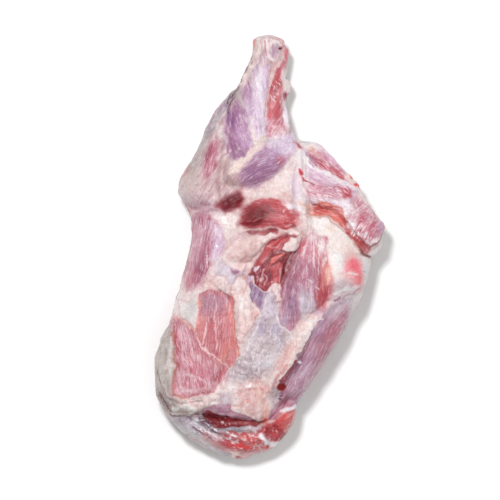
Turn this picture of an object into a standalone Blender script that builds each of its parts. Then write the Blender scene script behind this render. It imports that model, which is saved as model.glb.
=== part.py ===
"""Raw lamb shoulder with its shank, lying on its outer side with the inner muscles up.

The joint of meat is one solid. A sphere is drawn out along its length between a left edge, a right
edge, a top line and an underside. The muscles, tendons and fat pads then swell out of that body along
their own routes, the flap and the torn sheets stand a step above it, and the seams between the
muscles are pressed in. The underside is flat where the meat's own weight holds it to the table.

Lengths in the tables are millimetres; +Z is up, +Y runs towards the knuckle of the shank.
"""

import bmesh
import bpy
import numpy as np
from mathutils import Vector, noise

NAME = "lamb_shoulder"
MM = 0.001

ALONG = 210  # rings of the sphere that the body is shaped from
AROUND = 170  # points round each ring
UPPER_SHARE = 0.7  # share of those points that lie over the upper half
POLE = 0.001  # a point this near the sphere's axis is a pole
SKIN_TRIANGLES = 9000  # what the finished skin is thinned to
SETTLING = 2  # passes that draw the skin together over narrow creases

ROUNDNESS = 2.3  # exponent of a section: 2 is an ellipse, more is squarer
END_ROUNDING = 9.0  # how far from either tip the body starts to close
FOOT = 1.4  # how much wider a swelling's foot is than its named half width
LUMP_SIZE = 14.0
LUMP_HEIGHT = 0.8

MEAT_COLOUR = (0.62, 0.30, 0.31, 1.0)
MEAT_ROUGHNESS = 0.4

# The outline seen from above, as (y, x), from the cut end to the knuckle.
LEFT_EDGE = [(-170, -25), (-168, -33), (-164, -46), (-153, -65), (-134, -84), (-114, -91.5),
             (-98, -92.5), (-75, -88.5), (-62, -81), (-42, -75), (-12, -67), (8, -63.5), (22, -64),
             (35, -69), (43, -74), (52, -73), (62, -69), (78, -57.5), (97, -50), (112, -42),
             (123, -33), (128, -27), (141, -20.5), (155, -15), (166, -14.5), (169, -11), (170.5, -5)]
RIGHT_EDGE = [(-170, -22), (-168, -17), (-164, -3), (-158, 6), (-148, 14), (-136, 20), (-126, 21.5),
              (-113, 29.5), (-88, 46), (-62, 61), (-39, 73.5), (-19, 79.3), (-8, 81), (-4, 85),
              (3, 89), (9, 90), (17, 92), (22, 88), (34, 80), (44, 74), (55, 66), (69, 53), (79, 43),
              (83, 36), (84.5, 25), (86, 20.5), (95, 16.8), (104, 14.5), (113, 12.4), (119, 14),
              (128, 18), (133, 16), (136, 12.6), (150, 14.5), (157, 15), (162, 12.4), (166, 11.5),
              (169, 6), (170.5, -2)]

# Heights along the body, as (y, underside, widest, top). Less than nothing is pressed flat.
HEIGHTS = [(-170, 3, 12, 22), (-160, 0, 15, 32), (-145, -2, 19, 42), (-120, -3, 22, 50),
           (-80, -3, 24, 56), (-30, -3, 25, 58), (5, -3, 25, 54), (30, -2, 24, 46), (60, -1, 23, 41),
           (85, 1, 22, 38), (110, 3, 22, 35), (135, 6, 21, 31), (148, 8, 21, 30), (160, 8, 21, 32),
           (170.5, 10, 20, 29)]

# What swells out of the body: name, height over half width, route as (x, y, half width).
SWELLINGS = [
    ("knuckle_ball", 0.60, [(-1, 163, 6), (4, 153, 7)]),
    ("knuckle_side", 0.50, [(-10, 167, 3), (-12, 151, 4)]),
    ("shin_bone", 0.90, [(-4, 151, 4), (-10, 118, 6), (-11, 94, 7), (-18, 66, 5)]),
    ("shin_left", 0.60, [(-16, 138, 4), (-23, 110, 9), (-24, 86, 10), (-19, 70, 5)]),
    ("shin_right", 0.80, [(11, 152, 4), (7, 130, 6), (3, 106, 7), (6, 90, 5)]),
    ("shank_back", 0.70, [(14, 121, 4), (14, 98, 6), (15, 80, 8)]),
    ("calf", 0.45, [(-27, 126, 4), (-35, 106, 10), (-43, 88, 12), (-51, 70, 15), (-57, 50, 13)]),
    ("elbow", 0.70, [(-24, 62, 12), (-4, 67, 17), (12, 76, 10)]),
    ("joint_pad", 0.50, [(-4, 56, 10), (4, 44, 14), (14, 60, 8)]),
    ("flap_fold", 1.60, [(24, 70, 4), (22, 50, 5), (24, 29, 6)]),
    ("flap_band", 0.40, [(28, 72, 8), (48, 58, 9), (66, 38, 7), (78, 26, 5)]),
    ("flap_lip", 0.40, [(34, 50, 7), (56, 38, 9), (72, 22, 9), (84, 6, 6)]),
    ("neck_muscle", 0.55, [(-20, 28, 8), (0, 30, 11), (22, 20, 8)]),
    ("waist", 0.25, [(-46, 26, 16), (-44, -4, 18), (-46, -26, 15)]),
    ("cream_ridge", 1.00, [(-36, -9, 5), (-16, -2, 7), (4, 11, 7), (24, 18, 8)]),
    ("inner_belly", 0.55, [(-12, -28, 6), (-2, -12, 12), (12, 6, 7)]),
    ("fat_knob", 1.00, [(12, -2, 6), (17, 6, 7)]),
    ("centre_belly", 0.75, [(34, 7, 7), (34, -12, 13), (30, -34, 15), (22, -62, 6)]),
    ("fat_dome", 0.50, [(44, 18, 8), (60, 2, 18), (62, -20, 19), (54, -44, 10)]),
    ("flank", 0.45, [(64, -42, 10), (48, -70, 15), (26, -102, 15), (4, -136, 8)]),
    ("pale_band", 1.10, [(60, -36, 4), (32, -62, 7), (18, -86, 8), (4, -113, 6)]),
    ("plain", 0.20, [(4, -42, 16), (-6, -82, 26), (-20, -118, 20)]),
    ("fat_ridge", 0.70, [(-30, -26, 7), (-25, -46, 11), (-20, -68, 8), (-24, -84, 5)]),
    ("brisket", 0.28, [(-50, -38, 14), (-52, -74, 26), (-56, -108, 20)]),
    ("left_fat", 0.80, [(-83, -70, 6), (-86, -98, 8), (-81, -118, 8), (-64, -129, 7), (-44, -126, 5)]),
    ("end_tendon", 1.00, [(-34, -145, 3), (-8, -144, 4)]),
    ("end_band", 0.70, [(-50, -150, 6), (-24, -157, 8), (-6, -156, 7)]),
    ("end_corner", 0.70, [(2, -150, 9), (8, -138, 11), (17, -129, 7)]),
]

# What stands a step above its surroundings: name, rise, width of the step, outline as (x, y).
SHEETS = [
    ("flap", 7.0, 4.0, [(23, 81), (31, 86), (46, 80), (60, 66), (76, 48), (92, 28), (98, 16), (92, 2),
                        (79, -5), (64, 12), (60, 18), (48, 27), (30, 35), (24, 50)]),
]

# The hollow under the flap's free edge: from and to along y, depth, height, half height.
FLAP_HOLLOW = (-4, 80, 15.0, 10.0, 9.0)

# What is pressed in between the muscles: name, depth, half width, route as (x, y).
SEAMS = [
    ("calf", 2.5, 3.0, [(-30, 120), (-33, 96), (-37, 76), (-40, 56), (-38, 40)]),
    ("calf_end", 4.0, 4.0, [(-78, 34), (-56, 30), (-36, 34)]),
    ("elbow", 2.0, 3.0, [(-34, 50), (-14, 46), (6, 58), (18, 66)]),
    ("neck", 2.5, 3.0, [(-40, 14), (-10, 16), (8, 20), (24, 10)]),
    ("inner", 3.0, 3.0, [(-18, -20), (-10, -4), (2, 4), (18, 12)]),
    ("centre", 3.0, 3.0, [(26, 8), (18, -8), (8, -30), (4, -44)]),
    ("brisket", 2.5, 3.0, [(-46, -30), (-30, -44), (-27, -76), (-40, -104), (-50, -118)]),
    ("cut_end", 5.0, 3.5, [(-56, -134), (-40, -140), (-22, -139), (-4, -143), (2, -136), (14, -122)]),
    ("outer_layer", 2.5, 2.5, [(-80, -124), (-58, -142), (-38, -154), (-8, -162), (6, -152), (4, -143)]),
]


def clear_scene():
    for obj in list(bpy.data.objects):
        bpy.data.objects.remove(obj)


def smooth_through(rows, column, at):
    """A curve through a table's rows that never overshoots them (monotone cubic)."""
    table = np.array(rows, float)
    place, value = table[:, 0], table[:, column]
    step = np.diff(place)
    rise = np.diff(value) / step
    slope = np.concatenate([rise[:1], np.zeros(len(rise) - 1), rise[-1:]])
    same_way = rise[:-1] * rise[1:] > 0
    slope[1:-1][same_way] = 2 / (1 / rise[:-1][same_way] + 1 / rise[1:][same_way])
    i = np.clip(np.searchsorted(place, at) - 1, 0, len(step) - 1)
    t = np.clip((at - place[i]) / step[i], 0, 1)
    start = (2 * t**3 - 3 * t**2 + 1) * value[i] + (t**3 - 2 * t**2 + t) * step[i] * slope[i]
    end = (3 * t**2 - 2 * t**3) * value[i + 1] + (t**3 - t**2) * step[i] * slope[i + 1]
    return start + end


def section_turn(azimuth):
    """Turn round a section for a point of the sphere, with more points over than underneath."""
    share = (azimuth / (2 * np.pi)) % 1.0
    return np.pi * np.interp(share, [0, UPPER_SHARE, 1], [0, 1, 2])


def place_along(polar):
    """Where a ring of the sphere goes along y: evenly, but drawn together at the tips."""
    first, last = LEFT_EDGE[0][0], LEFT_EDGE[-1][0]
    even = polar / np.pi
    eased = (1 - np.cos(np.pi * even)) / 2
    near_tip = np.exp(-np.minimum(even, 1 - even) * (last - first) / END_ROUNDING)
    return first + (last - first) * (even + (eased - even) * near_tip)


def body_points(sphere):
    """The sphere's points moved onto the plain body, and how far up its upper half each is."""
    polar = np.arccos(np.clip(sphere[:, 2], -1, 1))
    turn = section_turn(np.arctan2(sphere[:, 1], sphere[:, 0]))
    y = place_along(polar)
    left = smooth_through(LEFT_EDGE, 1, y)
    right = smooth_through(RIGHT_EDGE, 1, y)
    under, widest, top = (smooth_through(HEIGHTS, column, y) for column in (1, 2, 3))
    from_tip = np.minimum(y - LEFT_EDGE[0][0], LEFT_EDGE[-1][0] - y)
    closing = np.sqrt(1 - (1 - np.clip(from_tip / END_ROUNDING, 0, 1)) ** 2)
    across = np.sign(np.cos(turn)) * np.abs(np.cos(turn)) ** (2 / ROUNDNESS)
    across *= np.hypot(sphere[:, 0], sphere[:, 1]) > POLE
    upward = np.sign(np.sin(turn)) * np.abs(np.sin(turn)) ** (2 / ROUNDNESS)
    reach = np.where(upward > 0, top - widest, widest - under)
    x = (left + right) / 2 + (right - left) / 2 * across
    z = widest + reach * closing * upward
    x -= np.clip(across, 0, 1) * flap_hollow(y, z)
    return np.stack([x, y, z], axis=1), np.clip(3 * upward, 0, 1)


def flap_hollow(y, z):
    """How far the side is drawn in beneath the flap, which hangs free of it."""
    first, last, depth, height, half_height = FLAP_HOLLOW
    share = np.clip((y - first) / (last - first), 0, 1)
    return depth * np.sin(np.pi * share) ** 0.7 * np.exp(-(((z - height) / half_height) ** 2))


def route_reach(route, x, y):
    """How far each place is from a route, and the route's half width there if it has one."""
    nearest = np.full(x.shape, np.inf)
    width = np.ones(x.shape)
    for start, end in zip(route, route[1:]):
        along = np.array(end, float) - np.array(start, float)
        t = np.clip(((x - start[0]) * along[0] + (y - start[1]) * along[1]) / (along[:2] @ along[:2]), 0, 1)
        away = np.hypot(x - start[0] - t * along[0], y - start[1] - t * along[1])
        here = start[2] + t * along[2] if len(start) > 2 else 1.0
        closer = away / here < nearest / width
        nearest = np.where(closer, away, nearest)
        width = np.where(closer, here, width)
    return nearest, width


def rounded(route):
    """A route with its corners eased, by halving each stretch and pulling the middles in."""
    points = np.array(route, float)
    for _ in range(2):
        quarter = points[:-1] * 0.75 + points[1:] * 0.25
        three_quarters = points[:-1] * 0.25 + points[1:] * 0.75
        between = np.stack([quarter, three_quarters], axis=1).reshape(-1, points.shape[1])
        points = np.vstack([points[:1], between, points[-1:]])
    return [tuple(point) for point in points]


def inside(outline, x, y):
    """Distance in from an outline: more than nothing inside it, less outside."""
    away, _ = route_reach(outline + outline[:1], x, y)
    within = np.zeros(x.shape, bool)
    for (x0, y0), (x1, y1) in zip(outline, outline[1:] + outline[:1]):
        crosses = (y0 > y) != (y1 > y)
        if y0 != y1:
            within ^= crosses & (x < (x1 - x0) * (y - y0) / (y1 - y0) + x0)
    return np.where(within, away, -away)


def relief(x, y):
    """Height the swellings, sheets and seams give the upper skin."""
    height = np.zeros(x.shape)
    for _, flat, route in SWELLINGS:
        away, width = route_reach(rounded(route), x, y)
        dome = np.clip(1 - (away / (FOOT * width)) ** 2, 0, None)
        height = np.maximum(height, flat * width * dome)
    for _, rise, step, outline in SHEETS:
        share = np.clip(inside(outline, x, y) / step, 0, 1)
        height += rise * share**2 * (3 - 2 * share)
    for _, depth, width, route in SEAMS:
        away, _ = route_reach(rounded(route), x, y)
        height -= depth * np.exp(-((away / width) ** 2))
    return height


def lumps(points):
    """Small unevenness of soft flesh, the same on every run."""
    return np.array([noise.noise(Vector(point) / LUMP_SIZE) for point in points])


def sphere_object():
    """A fine sphere, whose poles become the body's two tips."""
    bm = bmesh.new()
    bmesh.ops.create_uvsphere(bm, u_segments=AROUND, v_segments=ALONG, radius=1.0)
    mesh = bpy.data.meshes.new(NAME)
    bm.to_mesh(mesh)
    bm.free()
    collection = bpy.data.collections.new("lamb_shoulder_joint")
    bpy.context.scene.collection.children.link(collection)
    obj = bpy.data.objects.new(NAME, mesh)
    collection.objects.link(obj)
    return obj


def shaped(sphere):
    """The sphere's points moved onto the joint of meat, with the origin under its middle."""
    points, upper = body_points(sphere)
    points[:, 2] += upper * relief(points[:, 0], points[:, 1])
    points[:, 2] += (LUMP_HEIGHT / 2) * (1 + 2 * upper) * lumps(points)
    points[:, 2] = np.maximum(points[:, 2], 0.0)
    points[:, :2] -= (points[:, :2].min(axis=0) + points[:, :2].max(axis=0)) / 2
    return points


def raw_meat():
    material = bpy.data.materials.new("raw_meat")
    material.use_nodes = True
    shader = material.node_tree.nodes["Principled BSDF"]
    shader.inputs["Base Color"].default_value = MEAT_COLOUR
    shader.inputs["Roughness"].default_value = MEAT_ROUGHNESS
    shader.inputs["Metallic"].default_value = 0.0
    return material


def settle_and_thin(obj):
    """The skin is drawn over creases too narrow for flesh, then given fewer, larger faces."""
    settle = obj.modifiers.new("settle", "SMOOTH")
    settle.factor = 0.5
    settle.iterations = SETTLING
    thin = obj.modifiers.new("thin", "DECIMATE")
    thin.ratio = SKIN_TRIANGLES / (2 * len(obj.data.polygons))


def build():
    clear_scene()
    obj = sphere_object()
    sphere = np.empty(len(obj.data.vertices) * 3)
    obj.data.vertices.foreach_get("co", sphere)
    points = shaped(sphere.reshape(-1, 3))
    obj.data.vertices.foreach_set("co", (points * MM).ravel())
    obj.data.materials.append(raw_meat())
    obj.data.shade_smooth()
    settle_and_thin(obj)


build()
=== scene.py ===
"""Raw lamb shoulder with its shank, as a finished picture of raw meat.

The skin is a sphere drawn out to the shoulder's shape, as in the solid, but much finer. Its points are
then painted one tissue after another: each muscle, fat pad and membrane has its outline, its three
tones and the way its fibres run, and stands a little proud of what it lies on or a little below it.

Places are millimetres on the plan, written "x,y x,y" in the tables; +Z is up and +Y runs towards the
knuckle. Colours are written in hex, as on a screen. Angles are degrees from +X towards +Y.
"""

from itertools import product
from typing import NamedTuple

import bmesh
import bpy
import numpy as np
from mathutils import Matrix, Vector


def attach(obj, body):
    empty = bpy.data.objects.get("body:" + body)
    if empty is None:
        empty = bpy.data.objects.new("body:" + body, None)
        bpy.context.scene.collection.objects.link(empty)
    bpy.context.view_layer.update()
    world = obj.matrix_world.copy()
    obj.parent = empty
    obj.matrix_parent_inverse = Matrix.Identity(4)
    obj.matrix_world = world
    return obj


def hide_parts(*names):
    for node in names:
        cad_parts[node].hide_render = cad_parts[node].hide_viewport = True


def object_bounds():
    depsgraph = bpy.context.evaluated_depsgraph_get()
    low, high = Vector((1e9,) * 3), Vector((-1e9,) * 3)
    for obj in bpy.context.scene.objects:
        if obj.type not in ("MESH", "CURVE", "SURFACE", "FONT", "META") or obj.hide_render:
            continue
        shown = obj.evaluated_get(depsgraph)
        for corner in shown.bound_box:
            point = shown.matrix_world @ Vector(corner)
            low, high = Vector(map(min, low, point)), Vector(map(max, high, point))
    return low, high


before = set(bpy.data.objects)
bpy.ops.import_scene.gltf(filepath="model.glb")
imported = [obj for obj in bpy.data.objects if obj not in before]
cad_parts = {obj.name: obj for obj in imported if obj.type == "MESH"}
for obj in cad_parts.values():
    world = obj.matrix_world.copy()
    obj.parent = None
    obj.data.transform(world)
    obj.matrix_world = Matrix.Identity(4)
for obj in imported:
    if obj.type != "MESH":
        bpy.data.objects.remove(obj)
cad_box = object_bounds()

MM = 0.001


def places(text):
    """The points of a route or outline, written "x,y x,y" and so on."""
    return [tuple(float(number) for number in point.split(",")) for point in text.split()]


# ---------------------------------------------------------------- shape of the shoulder

ALONG = 452  # rings of the sphere that the body is shaped from
AROUND = 372  # points round each ring
UPPER_SHARE = 0.83  # share of those points that lie over the upper half
TYPICAL_SECTION = (82, 30)  # half width and height that the points are spread evenly over
SECTION_STEPS = 400  # how finely that section is measured
MARGIN = 0.05  # how far the skin stays within the solid's box

ROUNDNESS = 2.3  # how square a section is; 2 is an ellipse
END_ROUNDING = 9.0
UPPER_RISE = 3  # how soon up a section the skin counts as wholly upper
FOOT = 1.4  # how far a swelling's foot reaches past its half width
LUMP_SIZE = 14.0
LUMP_HEIGHT = 0.48  # on the outer side; the upper skin has three times as much

LEFT_EDGE = places(
    "-170,-25 -168,-33 -164,-46 -153,-65 -134,-84 -114,-91.5 -98,-92.5 -75,-88.5 -62,-81 -42,-75 -12,-67 "
    "8,-63.5 22,-64 35,-69 43,-74 52,-73 62,-69 78,-57.5 97,-50 112,-42 123,-33 128,-27 141,-20.5 "
    "155,-15 166,-14.5 169,-11 170.5,-5"
)
RIGHT_EDGE = places(
    "-170,-22 -168,-17 -164,-3 -158,6 -148,14 -136,20 -126,21.5 -113,29.5 -88,46 -62,61 -39,73.5 "
    "-19,79.3 -8,81 -4,85 3,89 9,90 17,92 22,88 34,80 44,74 55,66 69,53 79,43 83,36 84.5,25 86,20.5 "
    "95,16.8 104,14.5 113,12.4 119,14 128,18 133,16 136,12.6 150,14.5 157,15 162,12.4 166,11.5 169,6 "
    "170.5,-2"
)

# Heights along the body, as (y, underside, widest, top). Less than nothing is pressed flat.
HEIGHTS = places(
    "-170,3,12,22 -160,0,15,32 -145,-2,19,42 -120,-3,22,50 -80,-3,24,56 -30,-3,25,58 5,-3,25,54 "
    "30,-2,24,46 60,-1,23,41 85,1,22,38 110,3,22,35 135,6,21,31 148,8,21,30 160,8,21,32 170.5,10,20,29"
)

# What swells out of the body: name, height over half width, route as (x, y, half width).
SWELLINGS = [
    ("knuckle_ball", 0.6, "-1,163,6 4,153,7"),
    ("knuckle_side", 0.5, "-10,167,3 -12,151,4"),
    ("shin_bone", 0.9, "-4,151,4 -10,118,6 -11,94,7 -18,66,5"),
    ("shin_left", 0.6, "-16,138,4 -23,110,9 -24,86,10 -19,70,5"),
    ("shin_right", 0.8, "11,152,4 7,130,6 3,106,7 6,90,5"),
    ("shank_back", 0.7, "14,121,4 14,98,6 15,80,8"),
    ("calf", 0.45, "-27,126,4 -35,106,10 -43,88,12 -51,70,15 -57,50,13"),
    ("elbow", 0.7, "-24,62,12 -4,67,17 12,76,10"),
    ("joint_pad", 0.5, "-4,56,10 4,44,14 14,60,8"),
    ("flap_fold", 1.6, "24,70,4 22,50,5 24,29,6"),
    ("flap_band", 0.4, "28,72,8 48,58,9 66,38,7 78,26,5"),
    ("flap_lip", 0.4, "34,50,7 56,38,9 72,22,9 84,6,6"),
    ("neck_muscle", 0.55, "-20,28,8 0,30,11 22,20,8"),
    ("waist", 0.25, "-46,26,16 -44,-4,18 -46,-26,15"),
    ("cream_ridge", 1, "-36,-9,5 -16,-2,7 4,11,7 24,18,8"),
    ("inner_belly", 0.55, "-12,-28,6 -2,-12,12 12,6,7"),
    ("fat_knob", 1, "12,-2,6 17,6,7"),
    ("centre_belly", 0.75, "34,7,7 34,-12,13 30,-34,15 22,-62,6"),
    ("fat_dome", 0.5, "44,18,8 60,2,18 62,-20,19 54,-44,10"),
    ("flank", 0.45, "64,-42,10 48,-70,15 26,-102,15 4,-136,8"),
    ("pale_band", 1.1, "60,-36,4 32,-62,7 18,-86,8 4,-113,6"),
    ("plain", 0.2, "4,-42,16 -6,-82,26 -20,-118,20"),
    ("fat_ridge", 0.7, "-30,-26,7 -25,-46,11 -20,-68,8 -24,-84,5"),
    ("brisket", 0.28, "-50,-38,14 -52,-74,26 -56,-108,20"),
    ("left_fat", 0.8, "-83,-70,6 -86,-98,8 -81,-118,8 -64,-129,7 -44,-126,5"),
    ("end_tendon", 1, "-34,-145,3 -8,-144,4"),
    ("end_band", 0.7, "-50,-150,6 -24,-157,8 -6,-156,7"),
    ("end_corner", 0.7, "2,-150,9 8,-138,11 17,-129,7"),
]

# What stands a step above its surroundings: name, rise, width of the step, outline as (x, y).
SHEETS = [
    ("flap", 7, 4, "23,81 31,86 46,80 60,66 76,48 92,28 98,16 92,2 79,-5 64,12 60,18 48,27 30,35 24,50"),
]

# The hollow under the flap's free edge: from and to along y, depth, height, half height.
FLAP_HOLLOW = (-4, 80, 15.0, 10.0, 9.0)
HOLLOW_FULLNESS = 0.7  # how full it stays towards its ends; 1 is a sine's arch

# What is pressed in between the muscles: name, depth, half width, route as (x, y).
SEAMS = [
    ("calf", 2.5, 3, "-30,120 -33,96 -37,76 -40,56 -38,40"),
    ("calf_end", 4, 4, "-78,34 -56,30 -36,34"),
    ("elbow", 2, 3, "-34,50 -14,46 6,58 18,66"),
    ("neck", 2.5, 3, "-40,14 -10,16 8,20 24,10"),
    ("inner", 3, 3, "-18,-20 -10,-4 2,4 18,12"),
    ("centre", 3, 3, "26,8 18,-8 8,-30 4,-44"),
    ("brisket", 2.5, 3, "-46,-30 -30,-44 -27,-76 -40,-104 -50,-118"),
    ("cut_end", 5, 3.5, "-56,-134 -40,-140 -22,-139 -4,-143 2,-136 14,-122"),
    ("outer_layer", 2.5, 2.5, "-80,-124 -58,-142 -38,-154 -8,-162 6,-152 4,-143"),
]

# ---------------------------------------------------------------- tissues


class Tissue(NamedTuple):
    """What a tissue looks like."""

    deep: str
    middle: str
    pale: str
    wet: float  # from 0 to 1
    lumps: float  # height of its small lumps
    webs: float  # how strongly threads of membrane show on it, from 0 to 1
    streaky: float  # how strongly its fibres show, from 0 to 1


TISSUES = {
    "cream": Tissue("d6a09e", "f0d8d6", "fef4f3", 0.3, 0.62, 0.12, 0.35),
    "white": Tissue("ead4d0", "f8eeed", "fffafa", 0.25, 0.14, 0, 0.08),
    "peach": Tissue("ce8a88", "ecc8c6", "fce7e5", 0.3, 0.62, 0.22, 0.35),
    "grey_fat": Tissue("907a74", "beafaa", "e4dbd6", 0.35, 0.5, 0.22, 0.5),
    "membrane": Tissue("a88e98", "cbb8be", "e8dde1", 0.5, 0.45, 0.25, 0.35),
    "silver": Tissue("8e7884", "b8aab2", "e4dbe1", 0.5, 0.26, 0.35, 0.5),
    "mist": Tissue("b8a0b4", "d2c0ce", "ece1e9", 0.4, 0.12, 0.35, 0.5),
    "pearl": Tissue("c69cbe", "e5cade", "faf0f9", 0.5, 0.06, 0.45, 0.7),
    "veil": Tissue("be8aa6", "debacc", "f8eaf3", 0.4, 0.08, 0.5, 0.8),
    "blush": Tissue("b4848a", "d6b6b8", "f4e2e1", 0.4, 0.18, 0.3, 0.6),
    "lilac": Tissue("805880", "a886a6", "d6bed6", 0.4, 0.06, 0.3, 0.8),
    "mauve": Tissue("763c64", "a47092", "d4acca", 0.45, 0.05, 0.3, 0.8),
    "magenta": Tissue("925882", "b080a0", "d8b6d0", 0.5, 0.05, 0.3, 0.6),
    "dusty": Tissue("9c4a62", "c27c92", "eac2d0", 0.4, 0.06, 0.36, 0.8),
    "rose": Tissue("b44e62", "d6909e", "f8dae2", 0.4, 0.1, 0.42, 0.8),
    "coral": Tissue("94242e", "c44c54", "ec9e9e", 0.65, 0.1, 0.15, 0.6),
    "red": Tissue("681220", "98303c", "c45c64", 0.65, 0.08, 0.15, 0.6),
    "brick": Tissue("a42e2c", "dc6662", "f3aaa2", 0.55, 0.06, 0.3, 0.9),
    "brisket": Tissue("b24854", "ce7880", "ecb6ba", 0.35, 0.1, 0.3, 0.7),
    "flank": Tissue("9c5876", "c08ca0", "e0c2d0", 0.4, 0.08, 0.24, 0.6),
    # dull dark red: painted shade on the neck's left end and the narrow side, the round muscle's own colour
    # at the cut end
    "shaded": Tissue("5c0c16", "86202a", "b64e56", 0.1, 0.08, 0.1, 0.5),
    "cut": Tissue("54060e", "8a1c26", "c85458", 0.45, 0.3, 0.1, 0.5),
}

# The outer side, which the shoulder lies on: fat cover over the muscles.
OUTER_FAT = Tissue("beaeae", "d8c8c6", "eee3e0", 0.3, 0.3, 0.3, 0.4)
OUTER_MUSCLE = Tissue("a26878", "be8e9a", "dabac2", 0.3, 0.1, 0.2, 0.8)
THREAD = "f6eef1"  # membrane drawn out thin


def tone(colour):
    """A hex colour's red, green and blue as fractions."""
    return np.array(list(bytes.fromhex(colour)), float) / 255


def soft_step(value):
    """From 0 to 1 as the value does, easing in and out."""
    value = np.clip(value, 0, 1)
    return value * value * (3 - 2 * value)


def within(away, end, fade):
    """1 well within an end, fading to 0 at it."""
    return soft_step((end - away) / fade)


# ---------------------------------------------------------------- noise

LATTICE_SIZE = 64
LATTICE = np.random.default_rng(5).uniform(-1, 1, (LATTICE_SIZE,) * 3)
OCTAVE_SHIFT = 7  # keeps each finer noise from lying over the one before it
OCTAVE_FADE = 1.8


def cell_noise(x, y, z, cell, shift=(0, 0, 0)):
    """Smooth noise between -1 and 1 whose cells are so long, wide and high, shifted by whole cells."""
    scaled = [place / size + cells for place, size, cells in zip((x, y, z), cell, shift)]
    corners = [np.floor(place) for place in scaled]
    fades = [soft_step(place - corner) for place, corner in zip(scaled, corners)]
    total = np.zeros(np.shape(x))
    for steps in product((0, 1), repeat=3):
        i, j, k = ((corner + step).astype(int) % LATTICE_SIZE for corner, step in zip(corners, steps))
        share_x, share_y, share_z = (fade if step else 1 - fade for fade, step in zip(fades, steps))
        total += share_x * share_y * share_z * LATTICE[i, j, k]
    return total


def clouds(x, y, z, size, octaves=3):
    """Noise in space with finer noise on it."""
    total = np.zeros(np.shape(x))
    for octave in range(octaves):
        cell, shift = (size / 2**octave,) * 3, (OCTAVE_SHIFT * octave, 0, 0)
        total += cell_noise(x, y, z, cell, shift) / OCTAVE_FADE**octave
    return total / sum(1 / OCTAVE_FADE**octave for octave in range(octaves))


# ---------------------------------------------------------------- the body, as in the solid


def smooth_through(rows, column, at):
    """A curve through a table's rows that never overshoots them (monotone cubic)."""
    table = np.array(rows)
    place, value = table[:, 0], table[:, column]
    step = np.diff(place)
    rise = np.diff(value) / step
    slope = np.concatenate([rise[:1], np.zeros(len(rise) - 1), rise[-1:]])
    same_way = rise[:-1] * rise[1:] > 0
    slope[1:-1][same_way] = 2 / (1 / rise[:-1][same_way] + 1 / rise[1:][same_way])
    i = np.clip(np.searchsorted(place, at) - 1, 0, len(step) - 1)
    t = np.clip((at - place[i]) / step[i], 0, 1)
    start = (2 * t**3 - 3 * t**2 + 1) * value[i] + (t**3 - 2 * t**2 + t) * step[i] * slope[i]
    end = (3 * t**2 - 2 * t**3) * value[i + 1] + (t**3 - t**2) * step[i] * slope[i + 1]
    return start + end


def squared(value):
    """A sine or cosine pushed out towards a square, for a section's roundness."""
    return np.sign(value) * np.abs(value) ** (2 / ROUNDNESS)


def even_turns():
    """Turns round a section that are evenly spaced along its skin, with more of them over it."""
    half_width, height = TYPICAL_SECTION
    turn = np.linspace(0, np.pi, SECTION_STEPS)
    across, upward = squared(np.cos(turn)) * half_width, squared(np.sin(turn)) * height
    walked = np.concatenate([[0], np.cumsum(np.hypot(np.diff(across), np.diff(upward)))])
    stops = np.linspace(0, 1, round(AROUND * UPPER_SHARE), endpoint=False) * walked[-1]
    over = np.interp(stops, walked, turn)
    under = np.linspace(np.pi, 2 * np.pi, AROUND - len(over), endpoint=False)
    return np.concatenate([over, under])


def places_along():
    """Where the rings go along y: evenly, but drawn together at the tips."""
    first, last = LEFT_EDGE[0][0], LEFT_EDGE[-1][0]
    even = np.linspace(0, 1, ALONG)
    eased = (1 - np.cos(np.pi * even)) / 2
    near_tip = np.exp(-np.minimum(even, 1 - even) * (last - first) / END_ROUNDING)
    return first + (last - first) * (even + (eased - even) * near_tip)


def flap_hollow(y, z):
    """How far the side is drawn in beneath the flap, which hangs free of it."""
    first, last, depth, height, half_height = FLAP_HOLLOW
    share = np.clip((y - first) / (last - first), 0, 1)
    return depth * np.sin(np.pi * share) ** HOLLOW_FULLNESS * np.exp(-(((z - height) / half_height) ** 2))


def body_points():
    """The plain body's points, ring after ring, and how far up its upper half each is."""
    y, turn = np.meshgrid(places_along(), even_turns(), indexing="ij")
    left, right = (smooth_through(edge, 1, y) for edge in (LEFT_EDGE, RIGHT_EDGE))
    under, widest, top = (smooth_through(HEIGHTS, column, y) for column in (1, 2, 3))
    from_tip = np.minimum(y - LEFT_EDGE[0][0], LEFT_EDGE[-1][0] - y)
    closing = np.sqrt(1 - (1 - np.clip(from_tip / END_ROUNDING, 0, 1)) ** 2)
    across, upward = squared(np.cos(turn)), squared(np.sin(turn))
    reach = np.where(upward > 0, top - widest, widest - under)
    x = (left + right) / 2 + (right - left) / 2 * across
    z = widest + reach * closing * upward
    x -= np.clip(across, 0, 1) * flap_hollow(y, z)
    return np.stack([x, y, z], axis=-1).reshape(-1, 3), np.clip(UPPER_RISE * upward, 0, 1).ravel()


def route_reach(route, x, y):
    """How far each place is from a route, and the route's half width there if it has one."""
    nearest = np.full(x.shape, np.inf)
    width = np.ones(x.shape)
    for start, end in zip(np.array(route), np.array(route[1:])):
        along = end - start
        t = np.clip(((x - start[0]) * along[0] + (y - start[1]) * along[1]) / (along[:2] @ along[:2]), 0, 1)
        away = np.hypot(x - start[0] - t * along[0], y - start[1] - t * along[1])
        here = start[2] + t * along[2] if len(start) > 2 else 1.0
        closer = away / here < nearest / width
        nearest = np.where(closer, away, nearest)
        width = np.where(closer, here, width)
    return nearest, width


def rounded(route):
    """A route with its corners eased, by halving each stretch and pulling the middles in."""
    points = np.array(route)
    for _ in range(2):
        quarters = points[:-1] * 0.75 + points[1:] * 0.25, points[:-1] * 0.25 + points[1:] * 0.75
        between = np.stack(quarters, axis=1).reshape(-1, points.shape[1])
        points = np.vstack([points[:1], between, points[-1:]])
    return points


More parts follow.
